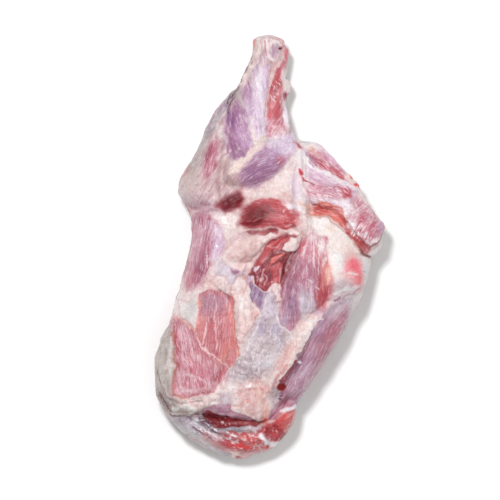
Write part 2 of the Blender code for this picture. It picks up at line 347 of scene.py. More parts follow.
def inside(outline, x, y):
    """Distance in from an outline: more than nothing inside it, less outside."""
    away, _ = route_reach(outline + outline[:1], x, y)
    enclosed = np.zeros(x.shape, bool)
    for (x0, y0), (x1, y1) in zip(outline, outline[1:] + outline[:1]):
        crosses = (y0 > y) != (y1 > y)
        if y0 != y1:
            enclosed ^= crosses & (x < (x1 - x0) * (y - y0) / (y1 - y0) + x0)
    return np.where(enclosed, away, -away)


def relief(x, y):
    """Height the swellings, sheets and seams give the upper skin."""
    height = np.zeros(x.shape)
    for _, flat, route in SWELLINGS:
        away, width = route_reach(rounded(places(route)), x, y)
        dome = np.clip(1 - (away / (FOOT * width)) ** 2, 0, None)
        height = np.maximum(height, flat * width * dome)
    for _, rise, step, outline in SHEETS:
        height += rise * soft_step(inside(places(outline), x, y) / step)
    for _, depth, width, route in SEAMS:
        away, _ = route_reach(rounded(places(route)), x, y)
        height -= depth * np.exp(-((away / width) ** 2))
    return height


# ---------------------------------------------------------------- what is painted where

# Muscles, fat and membranes: name, tissue, fibres, (length, width) of a streak, softness of the edge,
# height over what it lies on, outline. Fibres run at an angle, or out from a point, or round one.
REGIONS = [
    # the lower end's membranes and fat
    ("plain_fat", "cream", 80, (9, 3), 7, 0,
     "-34,-84 -22,-84 -6,-92 4,-84 14,-70 30,-62 40,-48 44,-54 34,-70 22,-90 10,-106 2,-116 0,-134 "
     "-10,-139 -30,-134 -34,-118 -44,-116 -36,-100"),
    ("plain_membrane", "membrane", 75, (12, 3), 10, -0.3,
     "-6,-37 4,-35 9,-42 7,-56 10,-66 17,-69 15,-78 8,-88 0,-98 -8,-106 -20,-109 -33,-106 -34,-97 "
     "-26,-88 -20,-76 -15,-64 -6,-46"),
    ("lower_fat", "peach", 80, (6, 2.5), 10, 0.3,
     "-24,-110 -8,-104 1,-108 1,-130 -6,-139 -18,-136 -26,-128 -28,-118"),
    ("side_strip", "membrane", 75, (10, 2), 4, -0.4, "1,-106 7,-104 8,-118 5,-128 1,-134 0,-120"),
    ("pale_band", "cream", 58, (16, 2.5), 5, 0.2,
     "46,-34 50,-36 44,-50 35,-64 28,-78 19,-92 10,-104 6,-102 12,-86 17,-70 26,-58 38,-52"),
    # the long muscle of the right side
    ("flank", "flank", 57, (16, 1.6), 1.6, 0.5,
     "45,-49 52,-42 62,-44 70,-46 90,-60 60,-110 30,-130 20,-127 12,-130 4,-137 -2,-138 4,-128 8,-119 "
     "7,-112 11,-104 20,-91 32,-71 36,-62"),
    ("flank_edge", "mist", 60, (14, 2), 7, 0, "60,-30 72,-32 90,-40 80,-56 66,-60 64,-52 58,-42"),
    ("dome_foot", "membrane", 20, (8, 1.6), 7, 0.3,
     "47,-30 53,-26 62,-28 72,-32 70,-38 60,-42 50,-45 46,-40"),
    # the fat dome of the shoulder
    ("dome", "white", 100, (12, 5), 4, 0.3,
     "29,20 34,24 42,25 50,21 63,10 70,0 74,-6 84,-10 82,-32 70,-31 60,-27 52,-27 48,-30 46.5,-18 44,-6 "
     "44,4 42,9 34,12"),
    # the brisket muscle and the fat round it
    ("side_fat", "grey_fat", 88, (14, 2), 2, 0.3,
     "-100,-60 -84,-60 -77.5,-66 -76,-80 -75.5,-100 -78,-120 -66,-121 -50,-119 -44,-121 -56,-133 "
     "-62,-134 -80,-134 -100,-125"),
    ("end_fat", "cream", 10, (9, 2), 6, 0.4,
     "-76,-122 -64,-121 -50,-118 -44,-120 -52,-127 -60,-130 -74,-129"),
    ("notch_fat", "white", 70, (8, 2), 1.5, 0.5,
     "-74,-42 -66,-44 -59,-39 -56.5,-41 -55.5,-52 -57,-60 -60.5,-65.5 -65,-59 -72,-55"),
    ("brisket", "brisket", 86, (10, 0.85), 1.2, -0.4,
     "-57,-37 -50,-34.5 -45,-33 -33,-38 -30,-40 -29,-60 -28,-68 -26.5,-78 -24,-85 -38,-103 -45,-115 "
     "-50,-117 -60,-118.5 -70,-119.5 -77,-119 -78,-108 -76,-100 -76,-88 -76.5,-78 -78,-66 -77,-59 "
     "-71,-56.5 -66,-60 -60.5,-65.5 -57.5,-60 -56,-50 -56.5,-42"),
    ("brisket_lower", "rose", 100, (9, 0.85), 9, 0,
     "-80,-56 -70,-60 -62,-68 -56,-80 -48,-88 -38,-95 -36,-104 -50,-116 -76,-116 -75,-94 -76,-78"),
    ("brisket_top", "flank", 88, (12, 1), 9, 0, "-54,-40 -46,-36 -38,-40 -37,-50 -44,-58 -54,-52"),
    # fat ridge and the lilac windows beside it
    ("window_left", "mist", 60, (9, 1.5), 4, -0.6,
     "-46,-12 -38,-9 -26,-11 -20,-16 -19,-22 -25,-24 -29,-29 -33,-30 -36,-24 -44,-22"),
    ("window_spot", "mauve", 75, (8, 1.2), 2, -0.2,
     "-31,-13 -26,-11 -24,-14 -24,-19 -27.5,-21 -30.5,-18"),
    ("ridge_top", "cream", 20, (6, 2.4), 1.4, 0.9,
     "-56,-30 -50,-25 -42,-22.5 -36,-23 -33.5,-27 -31,-32 -32,-38 -38,-35 -46,-32.5 -52,-33"),
    ("ridge", "cream", 85, (9, 2.6), 1.6, 0.8,
     "-30.5,-30 -26,-23.5 -20,-21.5 -16,-35 -13,-42 -9,-54 -14,-62 -20,-70 -24,-78 -26,-74 -28,-60 "
     "-29,-44 -31,-37"),
    ("window_upper", "lilac", 70, (8, 1.2), 1.2, -0.5,
     "-16.5,-28 -13,-29.5 -9,-33 -1,-37 -4,-41 -7,-46 -8,-52 -16.6,-39 -16.4,-33"),
    ("window_pale", "mist", 80, (9, 1.5), 5, -0.3, "-4,-37 1,-36 5,-42 5,-54 -2,-58 -8,-54 -7,-46"),
    # the muscle in the middle
    ("centre", "dusty", ("fan", 32, 40), (18, 1.1), 1.4, 0,
     "32,12 29,10 23,0 20,-4 17.5,-9 11.5,-24 8,-36 9.5,-43 7.5,-53 8,-60 14,-66 18.5,-65.5 22,-59 "
     "25,-51 31,-50 38,-51 42.5,-48 46.5,-37 48.5,-26 47.5,-18 45,-10 44,-6 44,6.5 41.5,7"),
    ("centre_low", "flank", ("fan", 24, 30), (18, 1.2), 9, 0,
     "13,-24 24,-26 28,-40 24,-56 18,-64 9,-60 10,-50 10,-40"),
    ("centre_veil", "mist", ("fan", 30, 60), (14, 1), 8, 0.1,
     "24.6,-32 29,-34 34,-42 35,-50 25,-58 23,-46"),
    ("centre_right", "coral", ("fan", 40, 60), (16, 1.3), 6, 0.1,
     "40,-12 45,-12 49,-26 47,-40 42,-50 37,-48 36,-38 38,-26"),
    ("centre_top", "rose", ("fan", 32, 22), (12, 1.1), 6, 0,
     "32,13 36,10 44,7 44,-5 40,-14 30,-14 21,-8 20,-3 26,6"),
    # the neck and the dark inner group
    ("neck_fat", "cream", 20, (8, 3), 3, 0.3,
     "-36,14 -18,15 0,12 16,14 24,16 30,22 33,12 24,6 8,9 -3,4 -14,-8 -22,-20 -38,-12 -44,4"),
    ("neck", "coral", -8, (9, 2.6), 1.4, 0.2,
     "-24,19 -22,30 -14,36 -9,38 -3,38.8 4,38.2 8,36 10.5,33 14,31 19,29.5 24,27.5 26,24 25,19 20,16 "
     "13,14.5 -2,16 -14,15"),
    # dark red at the neck's left end: partly its own, partly painted shade
    ("neck_dark", "shaded", 20, (9, 1.4), 7, -0.3, "-26,18 -22,32 -10,35 -3,32 0,28 -5,21 -14,16"),
    ("neck_strip", "red", 12, (6, 1.2), 1.6, -0.4,
     "-19,13 -6,13.4 3,14.4 7.4,14 6,11.4 -2,10.4 -8,9 -15,9.6"),
    ("inner", "red", 58, (14, 2.2), 1, -0.5,
     "-17.5,-22 -15.4,-17 -12,-11 -3,1.6 3,6 8,8.6 15,10.6 20,9.4 22,6 21,-1 18.6,-4.6 17.5,-9 14.6,-16 "
     "11.4,-25 9.4,-33 7,-31 1.4,-31 -4,-35 -9.2,-33 -13,-28 -14,-23"),
    ("inner_upper", "coral", 54, (14, 3), 1.6, 0.5,
     "-17,-21.6 -13,-14 -8,-7 -3,-0.6 3,4.6 9,7.4 16,9.4 20,8.4 13,5.4 9,1 8,-2.4 3,-3.6 -0.6,-8 -4,-11 "
     "-9,-15 -12,-18.6"),
    ("inner_low", "red", 62, (12, 2), 2, 0.3,
     "-12,-20 -8,-15.4 -3,-11 -0.6,-14 0,-22 -1.6,-30 -4.6,-34 -9,-32 -13,-26"),
    ("inner_column", "coral", 78, (10, 2.4), 1.6, 0.6, "1.4,-14 8.6,-10.6 10,-15 8,-28 2,-30 0.4,-22"),
    ("inner_bulge", "brick", 28, (7, 1.5), 1, 1.2,
     "-0.6,-12.4 0.6,-9 4,-6.6 8,-5.4 11.4,-5.6 10,-8 6,-11 1.6,-13.4"),
    ("fat_blob", "cream", 40, (4, 2.5), 1.2, 1.5,
     "9.8,1.4 12,4.6 15,7.4 20,8.6 24,10.6 28,14 29,10 24.6,5.6 22,2 20,-1.2 17,-3.4 13,-4.8 8.4,-2.4"),
    ("inner_foot", "cream", 70, (4, 2), 1.2, 0.8,
     "0.6,-31.4 3,-28.8 5,-29.4 8.2,-28 9.4,-32 8,-38 9,-43 4,-44 2,-38"),
    ("inner_scrap", "pearl", 40, (3, 1.5), 0.9, 0.5, "-14.4,-16.4 -8.2,-15.4 -11,-20.2"),
    ("inner_corner", "pearl", 50, (4, 1.5), 1.2, 0.3, "-19,-22.6 -13.4,-23.6 -14.4,-27 -17.4,-30"),
    # the flap of breast, whose cut edge shows red
    ("flap_skin", "veil", -28, (8, 1.6), 3, 0, "21,80 30,88 46,84 80,50 70,40 60,34 40,32 30,36 26,50"),
    ("flap_top", "white", -30, (6, 2), 4, 0.3, "23,80 26,88 40,87 44,79 38,76 30,77"),
    ("flap_bluish", "pearl", -50, (9, 1.6), 4, 0.3, "23,78 27,76 30,68 35,62 30,60 25,66"),
    ("flap_red", "rose", -32, (7, 1.2), 2.5, -0.2,
     "27,74 33,78 41,76 48,71 54,65.5 61,57 58,54.5 53,55 48,58 41,61 36,63.4 31,67"),
    ("flap_rose", "rose", -14, (7, 0.8), 3, -0.2,
     "27,51 34,51.5 44,49 56,49 64,44 65,38.5 54,37 42,38.5 28,40"),
    ("flap_spot", "coral", -30, (5, 1.1), 3, 0, "56,46.6 60,47.4 64.4,45 64,39.4 57,39"),
    ("flap_white_zone", "pearl", -25, (6, 1.2), 6, 0.2, "46,37 56,37 64,38 68,32 64,24 54,34"),
    ("flap_rim", "peach", -50, (6, 2), 3, 0.2, "59,57 63,61 73,52 83,39 87,32 81,32 65,50"),
    ("flap_end", "rose", 50, (4, 1), 4, 0.2,
     "64,36 70,40 80,34 88,25 97,20 94,12 88,8 81,1.4 75,3 68,9 61.6,15 61.6,24"),
    ("flap_band", "brick", ("ring", 41, 4), (10, 0.8), 2, -0.5,
     "31,28 33,33 38,36 45,35.4 52,32.8 56,30 61.6,19.6 60.4,15.2 58,15.8 54,20 49,23 42,25 36,25.4 "
     "32,24.6"),
    ("flap_cut", "coral", -42, (12, 1.1), 1, 0,
     "58.6,14.8 62.4,15 66,10.6 70,6.4 75,2 80.4,0.4 80,-4 76.4,-6.4 70,0 65,7 60,10.8"),
    ("flap_tab", "white", 35, (5, 1.5), 0.9, 1, "77.4,-7.4 88,5.4 93,7 92,2.4 86,-4 81,-8"),
    # the muscle of the narrow side, between the calf and the brisket
    ("waist_muscle", "dusty", 80, (14, 1.3), 7, -0.2,
     "-60,27 -50,28 -42,20 -38,6 -40,-8 -48,-18 -56,-30 -66,-34 -72,-20 -70,0 -68,18"),
    ("waist_veil", "pearl", 78, (12, 1.4), 8, 0, "-48,20 -40,16 -37,2 -40,-10 -46,-12 -46,4"),
    # painted shadow on the narrow side, beside the calf
    ("waist_dark", "shaded", 30, (9, 1.3), 5, -0.3, "-44,42 -30,47 -20,40 -24,31 -36,28 -44,32"),
    # elbow, joint pad and fold
    ("fold", "white", 85, (10, 1.6), 5, 0, "20,82 27,80 30,62 29,36 24,28 19,36 21,50 18,66"),
    ("joint_pad", "cream", 70, (10, 3), 4, 0, "-20,44 -8,52 6,62 14,70 20,78 22,60 20,42 12,38 -12,39"),
    ("calf", "blush", 55, (12, 2.2), 4, 0,
     "-22,130 -36,124 -56,98 -66,78 -80,62 -82,36 -60,32 -44,34 -28,42 -24,52 -30,66 -34,84 -32,104 "
     "-26,116"),
    ("calf_outer", "silver", 58, (16, 2), 7, 0,
     "-24,126 -32,128 -60,100 -70,78 -56,78 -46,92 -38,102 -32,112"),
    ("calf_muscle", "dusty", 76, (10, 1.2), 3, -0.2,
     "-54,58 -54.4,68 -51,79 -45.4,86 -41,84 -41.6,74 -44,62 -48,55"),
    ("elbow", "magenta", 25, (12, 2), 6, 0,
     "-26,57 -18,67 -9,77 -2,86 6,92 17,94 20,86 18,77 13,69 8,62 2,56 -6,51 -14,47 -22,48"),
    ("elbow_right", "pearl", 60, (10, 2), 7, 0, "2,84 6,76 10,72 20,74 22,92 16,106 8,92"),
    ("elbow_spot", "dusty", 40, (6, 1.4), 3, 0, "4,68 6,73 11,72 12,67 7,65"),
    # the shank
    ("shank_right", "blush", 95, (14, 1.6), 2.5, 0, "3,150 8,172 20,172 22,120 22,96 12,88 6,96 0,120"),
    ("shank_belly", "magenta", 105, (20, 2.4), 5, 0,
     "-9,148 -14,138 -22,126 -29,114 -36,100 -38,84 -30,70 -22,66 -12,74 -7,84 -8,104 -10,118 -8,132"),
    ("shank_streak", "magenta", 103, (18, 1.4), 3, 0,
     "-9.6,146 -15,142 -20.6,126 -21,114 -16.6,114 -13,128 -10,138"),
    ("shank_ridge", "pearl", 98, (18, 1.8), 5, 0.2,
     "-8,149 -1,150 1,128 -3,116 -3.4,98 -2,88 -8,82 -16,82 -16,96 -15,112 -13,130"),
    ("shank_red", "coral", 72, (8, 1.4), 1.2, 0,
     "9.6,149 12.4,149 12.4,136 11,122 10.4,110 11,100 8,94 0,92 -3,99 -4,110 -2.6,121 1,131 5,140"),
    ("shank_foot", "rose", 60, (6, 1.5), 2.5, 0, "-3,100 4,103 10,104 12,95 8,88 3,83 -3,86"),
    ("knuckle", "blush", 90, (7, 2), 3, 0, "-18,148 -20,172 20,172 18,152 8,150 2,146 -8,146"),
    # the cut end
    ("end_lumps", "silver", 10, (6, 1.6), 3, 0.4,
     "-80,-135 -66,-135 -54,-136 -44,-144 -24,-142 -5,-142 -6,-150 -30,-151 -48,-149 -60,-152 -72,-144"),
    ("end_outer", "silver", -30, (14, 1.6), 4, 0,
     "-100,-130 -80,-135 -66,-146 -54,-154 -38,-160 -26,-166 -30,-176 -70,-170 -100,-150"),
    ("end_wet", "coral", -12, (9, 1.4), 7, 0.2,
     "-56,-147 -44,-150 -32,-148 -24,-149 -18,-147 -10,-145 -5,-146 -4,-156 6,-160 4,-170 -16,-170 "
     "-30,-165 -42,-160 -52,-154"),
    ("end_window", "flank", 6, (11, 0.9), 1, -0.4,
     "-54,-131.5 -49,-127.5 -42,-125.2 -36,-124 -32,-125 -30.4,-130 -26,-133 -18,-135.6 -10,-138.6 "
     "-6,-140.6 -20,-140.4 -32,-138 -44,-135"),
    ("end_pale", "mist", 70, (7, 1.6), 9, 0, "-42,-125 -38,-118 -33,-116 -31,-124"),
    ("end_cut", "cut", 4, (5, 1.4), 0.9, -0.8,
     "-56,-133.6 -50,-131.8 -44,-133 -40,-135 -30,-137.4 -20,-139.2 -4,-141 -12,-141.6 -25,-142 "
     "-33,-142.6 -39,-144.6 -44,-143.6 -48.6,-140.6 -52.6,-136.6"),
    ("end_corner", "coral", 45, (7, 1.6), 1, 0.2,
     "-6,-143 2,-140 10,-133.5 16,-130.6 21,-129 26,-127 24,-146 12,-162 3,-162 -3,-157 -6.5,-149"),
    ("end_round", "shaded", 30, (3, 1.6), 1.4, 0,
     "-5,-150 -3,-144.6 3,-142.6 9,-145 12,-151 9,-156.4 3,-157.6 -3,-155"),
]

# Soft clouds of colour, some of them painted shade, shadow or highlight as noted: colour, strength, middle
# x and y, half length, half width, angle.
GLAZES = [
    # fat, pinker where it dips: painted warm shade
    ("f6d6d0", 0.6, -16, 6, 14, 4, 28),
    ("f0c8c4", 0.45, -21, -12, 8, 4, 60),
    ("f8e2de", 0.6, 4, 48, 12, 6, 40),
    ("fae0dc", 0.6, 23, 24, 8, 4, 80),
    ("f0ccc8", 0.5, -22, -62, 14, 3, 80),
    ("f6dcda", 0.65, -22, -79, 8, 4, 80),
    ("f6d4ce", 0.5, -42, -29, 8, 2.4, 10),
    # narrow side and calf lobe
    ("e2b2be", 0.6, -60, 2, 14, 5, 84),
    ("964a64", 0.55, -56, -16, 12, 3, 70),
    ("f6e8e6", 0.6, -44, -16, 10, 4, 50),
    # painted shadow on the narrow side, beside the calf
    ("702430", 0.7, -32, 37, 8, 5, 20),
    ("965c78", 0.6, -54, 32, 16, 4, -8),
    ("ce6e7a", 0.45, -64, -26, 9, 4, 70),
    # knuckle and shank
    ("ac86a2", 0.85, 3.4, 156.4, 6.4, 3.6, 62),
    # these two: painted highlight on the knuckle's round knob
    ("fff6f6", 0.9, -4, 164, 5, 1.8, 60),
    ("fff6f6", 0.9, 4, 165.6, 4, 1.5, -10),
    ("ceaabe", 0.7, -5, 152, 7, 3, 80),
    ("de706a", 0.8, -13.4, 164, 5, 1.6, 80),
    ("ec8c8c", 0.6, 9.4, 165, 5, 1.8, -40),
    ("d8bcb8", 0.45, -11, 157, 8, 2.4, 84),
    ("d64654", 0.8, 12.6, 154, 8, 2.2, 88),
    ("d6c4c0", 0.85, -18, 142, 14, 2.4, 112),
    ("c4b6b4", 0.85, -26, 122, 18, 3, 118),
    ("e4dad8", 0.7, -40, 92, 12, 3.5, 122),
    # painted highlight down the shank's ridge
    ("f6eef6", 0.8, -9.5, 130, 13, 3.2, 100),
    ("eed6ec", 0.6, -5, 134, 12, 1.6, 94),
    ("8c588e", 0.75, -32, 103, 11, 2.2, 108),
    ("b07aae", 0.65, -27, 98, 12, 3, 98),
    ("e0c4e2", 0.75, -17.6, 106, 12, 2.4, 98),
    ("cea8ca", 0.6, -20, 84, 9, 4, 95),
    ("b27498", 0.6, -31, 86, 9, 3, 84),
    ("f0deee", 0.75, -3.6, 108, 16, 2.2, 92),
    ("d6b6d6", 0.45, -11, 108, 16, 3.4, 98),
    ("c65c6e", 0.75, 5, 106, 9, 3.6, 80),
    ("dea0aa", 0.5, 4, 122, 10, 4, 76),
    ("be384c", 0.75, 8, 141, 8, 2.2, 70),
    ("782232", 0.5, 4, 124, 12, 1.4, 62),
    ("f0cec6", 0.9, 2, 138, 14, 1.4, 76),
    ("f2d6d0", 0.8, -2.5, 118, 9, 1.2, 82),
    # the pale strip down the shank's right side: its own cream, made lighter as painted light on the steep
    # side
    ("fffafc", 1, 12, 128, 20, 2.6, 93),
    ("961e2e", 1, 13.2, 120, 4.5, 2, 92),
    # the same pale strip lower down: its own cream, made lighter as painted light
    ("fcf0fa", 0.95, 12.4, 106, 12, 2.8, 98),
    # painted highlight on the elbow's top
    ("fcf4fa", 0.85, 3, 84, 6, 5, 20),
    ("98628c", 0.75, -7, 63, 14, 7, 32),
    ("d2b4d4", 0.6, 5, 78, 12, 6, 40),
    ("966088", 0.5, -8, 55, 12, 3, 28),
    ("ce82a0", 0.4, 9, 70, 5, 3.5, 40),
    ("dec8e2", 0.65, 15, 82, 9, 4, 70),
    ("dec8e0", 0.8, 19.8, 48, 12, 2.6, 95),
    ("ecd6e4", 0.6, 24, 48, 18, 4, 88),
    # calf
    ("c44a50", 0.55, -67, 61, 5, 2, 60),
    ("ead4ce", 0.5, -60, 54, 12, 5, 60),
    ("ceb0be", 0.55, -62, 40, 12, 4, 0),
    ("fcf6f6", 0.5, -73, 42, 4, 3, 0),
    # this and the next two: grey along the calf's left edge, partly silvery membrane, partly painted shade
    ("b0a0a0", 0.55, -56, 80, 20, 4, 58),
    ("beacaa", 0.5, -62, 58, 14, 7, 70),
    ("a0908e", 0.75, -58, 71, 12, 5, 62),
    ("b25c70", 0.6, -48, 69, 14, 4.5, 76),
    ("963850", 0.6, -49, 74, 8, 2.2, 74),
    ("e2cccc", 0.6, -57, 72, 12, 2, 66),
    # grey along the calf's left edge: partly silvery membrane, partly painted shade
    ("a8969e", 0.55, -50, 92, 18, 2.4, 56),
    ("d6bebc", 0.55, -66, 46, 9, 6, 60),
    # flap
    # these two: painted light, paler paint against the shade on the fold's foot and the flap's top edge
    ("fae4e0", 0.85, 28, 27, 9, 3.6, 70),
    ("fffafa", 0.9, 34, 81.5, 11, 3.4, -12),
    ("f6cee2", 0.7, 53, 69, 12, 2.6, -48),
    ("a41e28", 0.8, 22.5, 81.5, 3, 1.3, -60),
    ("eeaa96", 0.55, 33, 77, 5, 2, -30),
    ("966888", 0.65, 32, 71, 7, 2.6, -48),
    ("845478", 0.55, 34, 66, 4, 1.4, -36),
    ("f0bed8", 0.85, 48, 73, 13, 4.4, -42),
    ("a83044", 0.75, 41, 65.2, 5, 2.2, -25),
    ("c43848", 0.85, 53.5, 58.2, 7, 2.4, -30),
    ("d25464", 0.6, 46, 62, 5, 2.2, -34),
    ("fcf4f6", 0.75, 27, 73, 5, 1.6, -60),
    ("d6a8c4", 0.75, 40, 56.4, 7, 3, -22),
    ("faeef4", 0.6, 52, 52, 9, 2, -18),
    ("fcceca", 0.8, 68, 49, 10, 2.6, -52),
    ("c6667e", 0.4, 42, 46, 14, 2.2, -10),
    ("deb4ca", 0.4, 47, 44, 14, 6, -10),
    ("c03e4e", 0.6, 60.5, 43.4, 4.2, 3.6, -30),
    ("fcf2f8", 0.65, 58, 34, 9, 3, -25),
    ("fcf4f8", 0.6, 64, 30, 6, 3, -50),
    ("be4e66", 0.6, 73, 22, 7, 4, 40),
    ("b6425c", 0.65, 81, 17, 5, 3, 60),
    ("c496c0", 0.75, 87, 15, 6, 2.6, 75),
    ("fcf6fa", 0.85, 84, 6, 6, 2.4, 24),
    ("faf0f4", 0.65, 65, 17, 5, 3, -45),
    ("d66070", 0.65, 88, 25, 6, 1.8, 120),
    ("ce4654", 0.75, 91, 14, 6, 1.4, 95),
    # painted shade in the crevice under the flap's tip
    ("681414", 0.8, 75, -5, 5, 1.4, -40),
    ("b23c36", 0.6, 68, 5, 10, 2.4, -48),
    ("f09c8c", 0.55, 41, 26, 9, 1, 0),
    ("ee927c", 0.65, 53, 21.4, 6, 1, -38),
    ("f8ded4", 0.75, 31.6, 30, 2.6, 5, 10),
    ("962824", 0.4, 47, 31, 9, 1.4, -12),
    # neck and inner group
    ("ba2e38", 0.85, 3, 34, 9, 3.6, 0),
    ("be4248", 0.6, 8, 25, 11, 4, -8),
    # these two: wet membrane at the neck's right end, whitened partly as painted highlight
    ("faf0f6", 0.85, 19, 31, 10, 2.4, -24),
    ("faeef2", 0.7, 25.6, 23, 5, 2, 88),
    ("6e1420", 0.7, 1, 30, 6, 1.2, -30),
    # painted shade darkening the neck's left end, over its own dark red
    ("701820", 0.6, -8, 25, 9, 6, 20),
    ("ce9694", 0.55, -18, -4, 12, 3, 55),
    ("600c16", 0.7, -1, -8.6, 7, 1, 58),
    ("600c16", 0.75, 6, -12, 6, 0.9, 22),
    # these two: painted shade in the crease between the inner group and the middle muscle
    ("640e18", 0.8, 9.8, -20, 11, 0.9, 82),
    ("6e121c", 0.75, 15.2, -9, 6, 1.4, 62),
    ("de6c70", 0.6, 4.6, -20, 8, 3, 80),
    ("ec9692", 0.5, -4, -3, 12, 1.6, 52),
    ("de5c62", 0.45, 2, 3, 12, 3, 50),
    ("c4949e", 0.5, -24, 8, 10, 3, 20),
    # middle muscle
    ("fffafb", 0.9, 41, 0, 6, 2.8, 92),
    ("fdf0f2", 0.8, 33, 8, 6, 4, 0),
    ("fce2e6", 0.5, 39, 1, 5, 4, 90),
    ("ce4c54", 0.85, 43, 4.6, 2.4, 1.1, 88),
    # these two: peach on the middle muscle's right side, partly its own colour, partly painted highlight
    ("ffc8ba", 0.95, 46, -22, 10, 3.2, 86),
    ("faa69e", 0.75, 42.6, -14, 8, 2.6, 80),
    ("b23446", 0.7, 43, -38, 8, 3.2, 72),
    ("9e6080", 0.45, 15, -36, 12, 3.4, 78),
    ("c6aec4", 0.8, 11, -58, 7, 3.6, 70),
    ("b08cac", 0.5, 17, -46, 11, 4, 80),
    ("e8daea", 0.7, 25, -44, 12, 1.2, 92),
    ("f0dcec", 0.6, 32.6, -38, 8, 1.2, 98),
    ("c89eb8", 0.6, 38, -51, 7, 2.6, 10),
    ("d85e68", 0.65, 25.4, 0, 8, 1.6, 60),
    ("d0545c", 0.65, 37.6, -8, 9, 1.2, 92),
    ("a86078", 0.5, 21, -20, 10, 3.4, 62),
    ("b26e86", 0.55, 28, -20, 14, 6, 84),
    ("ce8292", 0.5, 31, -2, 8, 4, 84),
    # dome
    # painted sheen: a bluish-white highlight on the dome's top
    ("f0f6f6", 0.7, 57, -8, 9, 5, 80),
    ("fcdec8", 0.35, 47, 14, 5, 3, 0),
    ("f6d6ce", 0.6, 62, -2, 14, 7, -40),
    ("fd9ca2", 0.9, 66, -20, 13, 7.4, 104),
    ("ff7080", 0.95, 67, -15, 7, 5, 14),
    ("fe7c88", 0.85, 70, -25, 9, 4.2, 95),
    ("f4c4c4", 0.7, 60, -23, 6, 4, 0),
    ("eeeaec", 0.9, 76.8, -21, 16, 3.2, 92),
    ("ceb6c0", 0.6, 56, -29, 7, 3, 10),
    ("ead0ce", 0.65, 55, -37, 9, 4, 25),
    ("eae2de", 0.8, 69, -43, 13, 4.5, 65),
    ("dac4d0", 0.85, 53, -48, 12, 6, 45),
    # flank and plain
    ("be6274", 0.5, 48, -72, 22, 5.5, 57),
    ("703a5c", 0.75, 19, -96, 14, 2.6, 56),
    ("c8a4c2", 0.45, 28, -96, 18, 4.5, 57),
    ("bea0c4", 0.5, 40, -62, 12, 3.5, 52),
    ("9c4658", 0.6, 11, -122, 5, 3, 60),
    ("b09cba", 0.65, -8, -64, 6, 4, 80),
    ("beb2cc", 0.6, 4, -66, 6, 4, 80),
    ("b6aec4", 0.6, 8, -77, 5, 2, 75),
    ("e8b8b2", 0.7, 12, -86, 14, 4, 58),
    ("f6ded8", 0.6, 26, -62, 16, 4, 50),
    ("e4e0e6", 0.5, -4, -92, 10, 3, 20),
    ("e8aaa0", 0.55, -11, -54, 4, 3, 60),
    ("f6c6be", 0.5, -8, -118, 8, 12, 0),
    ("e88c6e", 0.45, -3, -131, 2.5, 4, 0),
    # brisket
    ("cec8c8", 0.6, -63, -50, 12, 5, 60),
    ("c43446", 0.75, -75.5, -74, 7, 1.8, 100),
    ("ac3c4c", 0.7, -46.6, -60, 8, 1.2, 98),
    ("b44c5c", 0.45, -40, -50, 10, 1.4, 90),
    ("f09286", 0.7, -35, -82, 12, 4, 70),
    ("f0968a", 0.65, -54.6, -66, 8, 3, 82),
    ("f08a84", 0.7, -31, -50, 12, 1.6, 88),
    ("d25c6c", 0.35, -58, -98, 12, 6, -50),
    ("be646e", 0.55, -50, -74, 17, 11, 84),
    ("a86a7e", 0.5, -46, -45, 9, 8, 84),
    ("be646e", 0.5, -45, -60, 10, 6, 86),
    ("e4b2c4", 0.55, -68, -70, 9, 5, 100),
    ("fadee4", 0.55, -64, -102, 8, 1.6, -20),
    ("f6ccd4", 0.6, -66, -114, 12, 3, 4),
    ("c83c48", 0.55, -40, -102, 4, 2, 60),
    ("c496aa", 0.55, -37, -42, 5, 3, 40),
    ("9c7060", 0.6, -69, -133.6, 9, 1.6, 4),
    ("784c4e", 0.65, -84, -124, 9, 2.4, 122),
    ("ece4e0", 0.55, -80, -90, 18, 1.8, 88),
    ("d4cbc6", 0.5, -86, -88, 20, 3.5, 86),
    # cut end
    ("76547a", 0.75, -65, -137.6, 3.4, 2, -20),
    ("e2d6e6", 0.7, -62, -143, 8, 4, -30),
    ("684a58", 0.75, -51, -140, 8, 3.2, -40),
    ("806470", 0.6, -43, -146, 5, 1.6, -10),
    ("9a909c", 0.9, -27, -144.8, 8, 2.6, 2),
    ("e2d6da", 0.7, -12, -144.4, 6, 2.6, 10),
    ("f6e2e8", 0.7, -42, -151, 8, 2, -14),
    ("f49892", 0.75, -19, -152.4, 9, 2.8, -4),
    ("ec4042", 0.85, -20, -158.6, 13, 2.8, -4),
    ("ceb0b6", 0.7, -45, -153, 9, 3.2, -24),
    ("e4dee2", 0.65, -60, -152, 18, 5, -34),
    ("ce7886", 0.6, -8, -164, 9, 2, 14),
    ("ce281e", 0.75, -7, -154, 2, 4, 10),
    ("e23c2c", 0.85, -3.8, -138.6, 2.2, 3.2, -12),
    ("da3436", 0.9, 11, -139, 10, 7, 55),
    ("e04c54", 0.8, 3, -151, 7, 5.4, 10),
    ("fff6fa", 0.95, 2.6, -157.2, 8, 1.8, -12),
    ("a82832", 0.6, 0, -146, 4, 2, 20),
    ("fabeb4", 0.55, 15, -134, 5, 1.4, 40),
    ("d69696", 0.55, -46, -158, 14, 1.6, -22),
    ("ce8290", 0.7, -60, -156, 14, 1, -31),
]
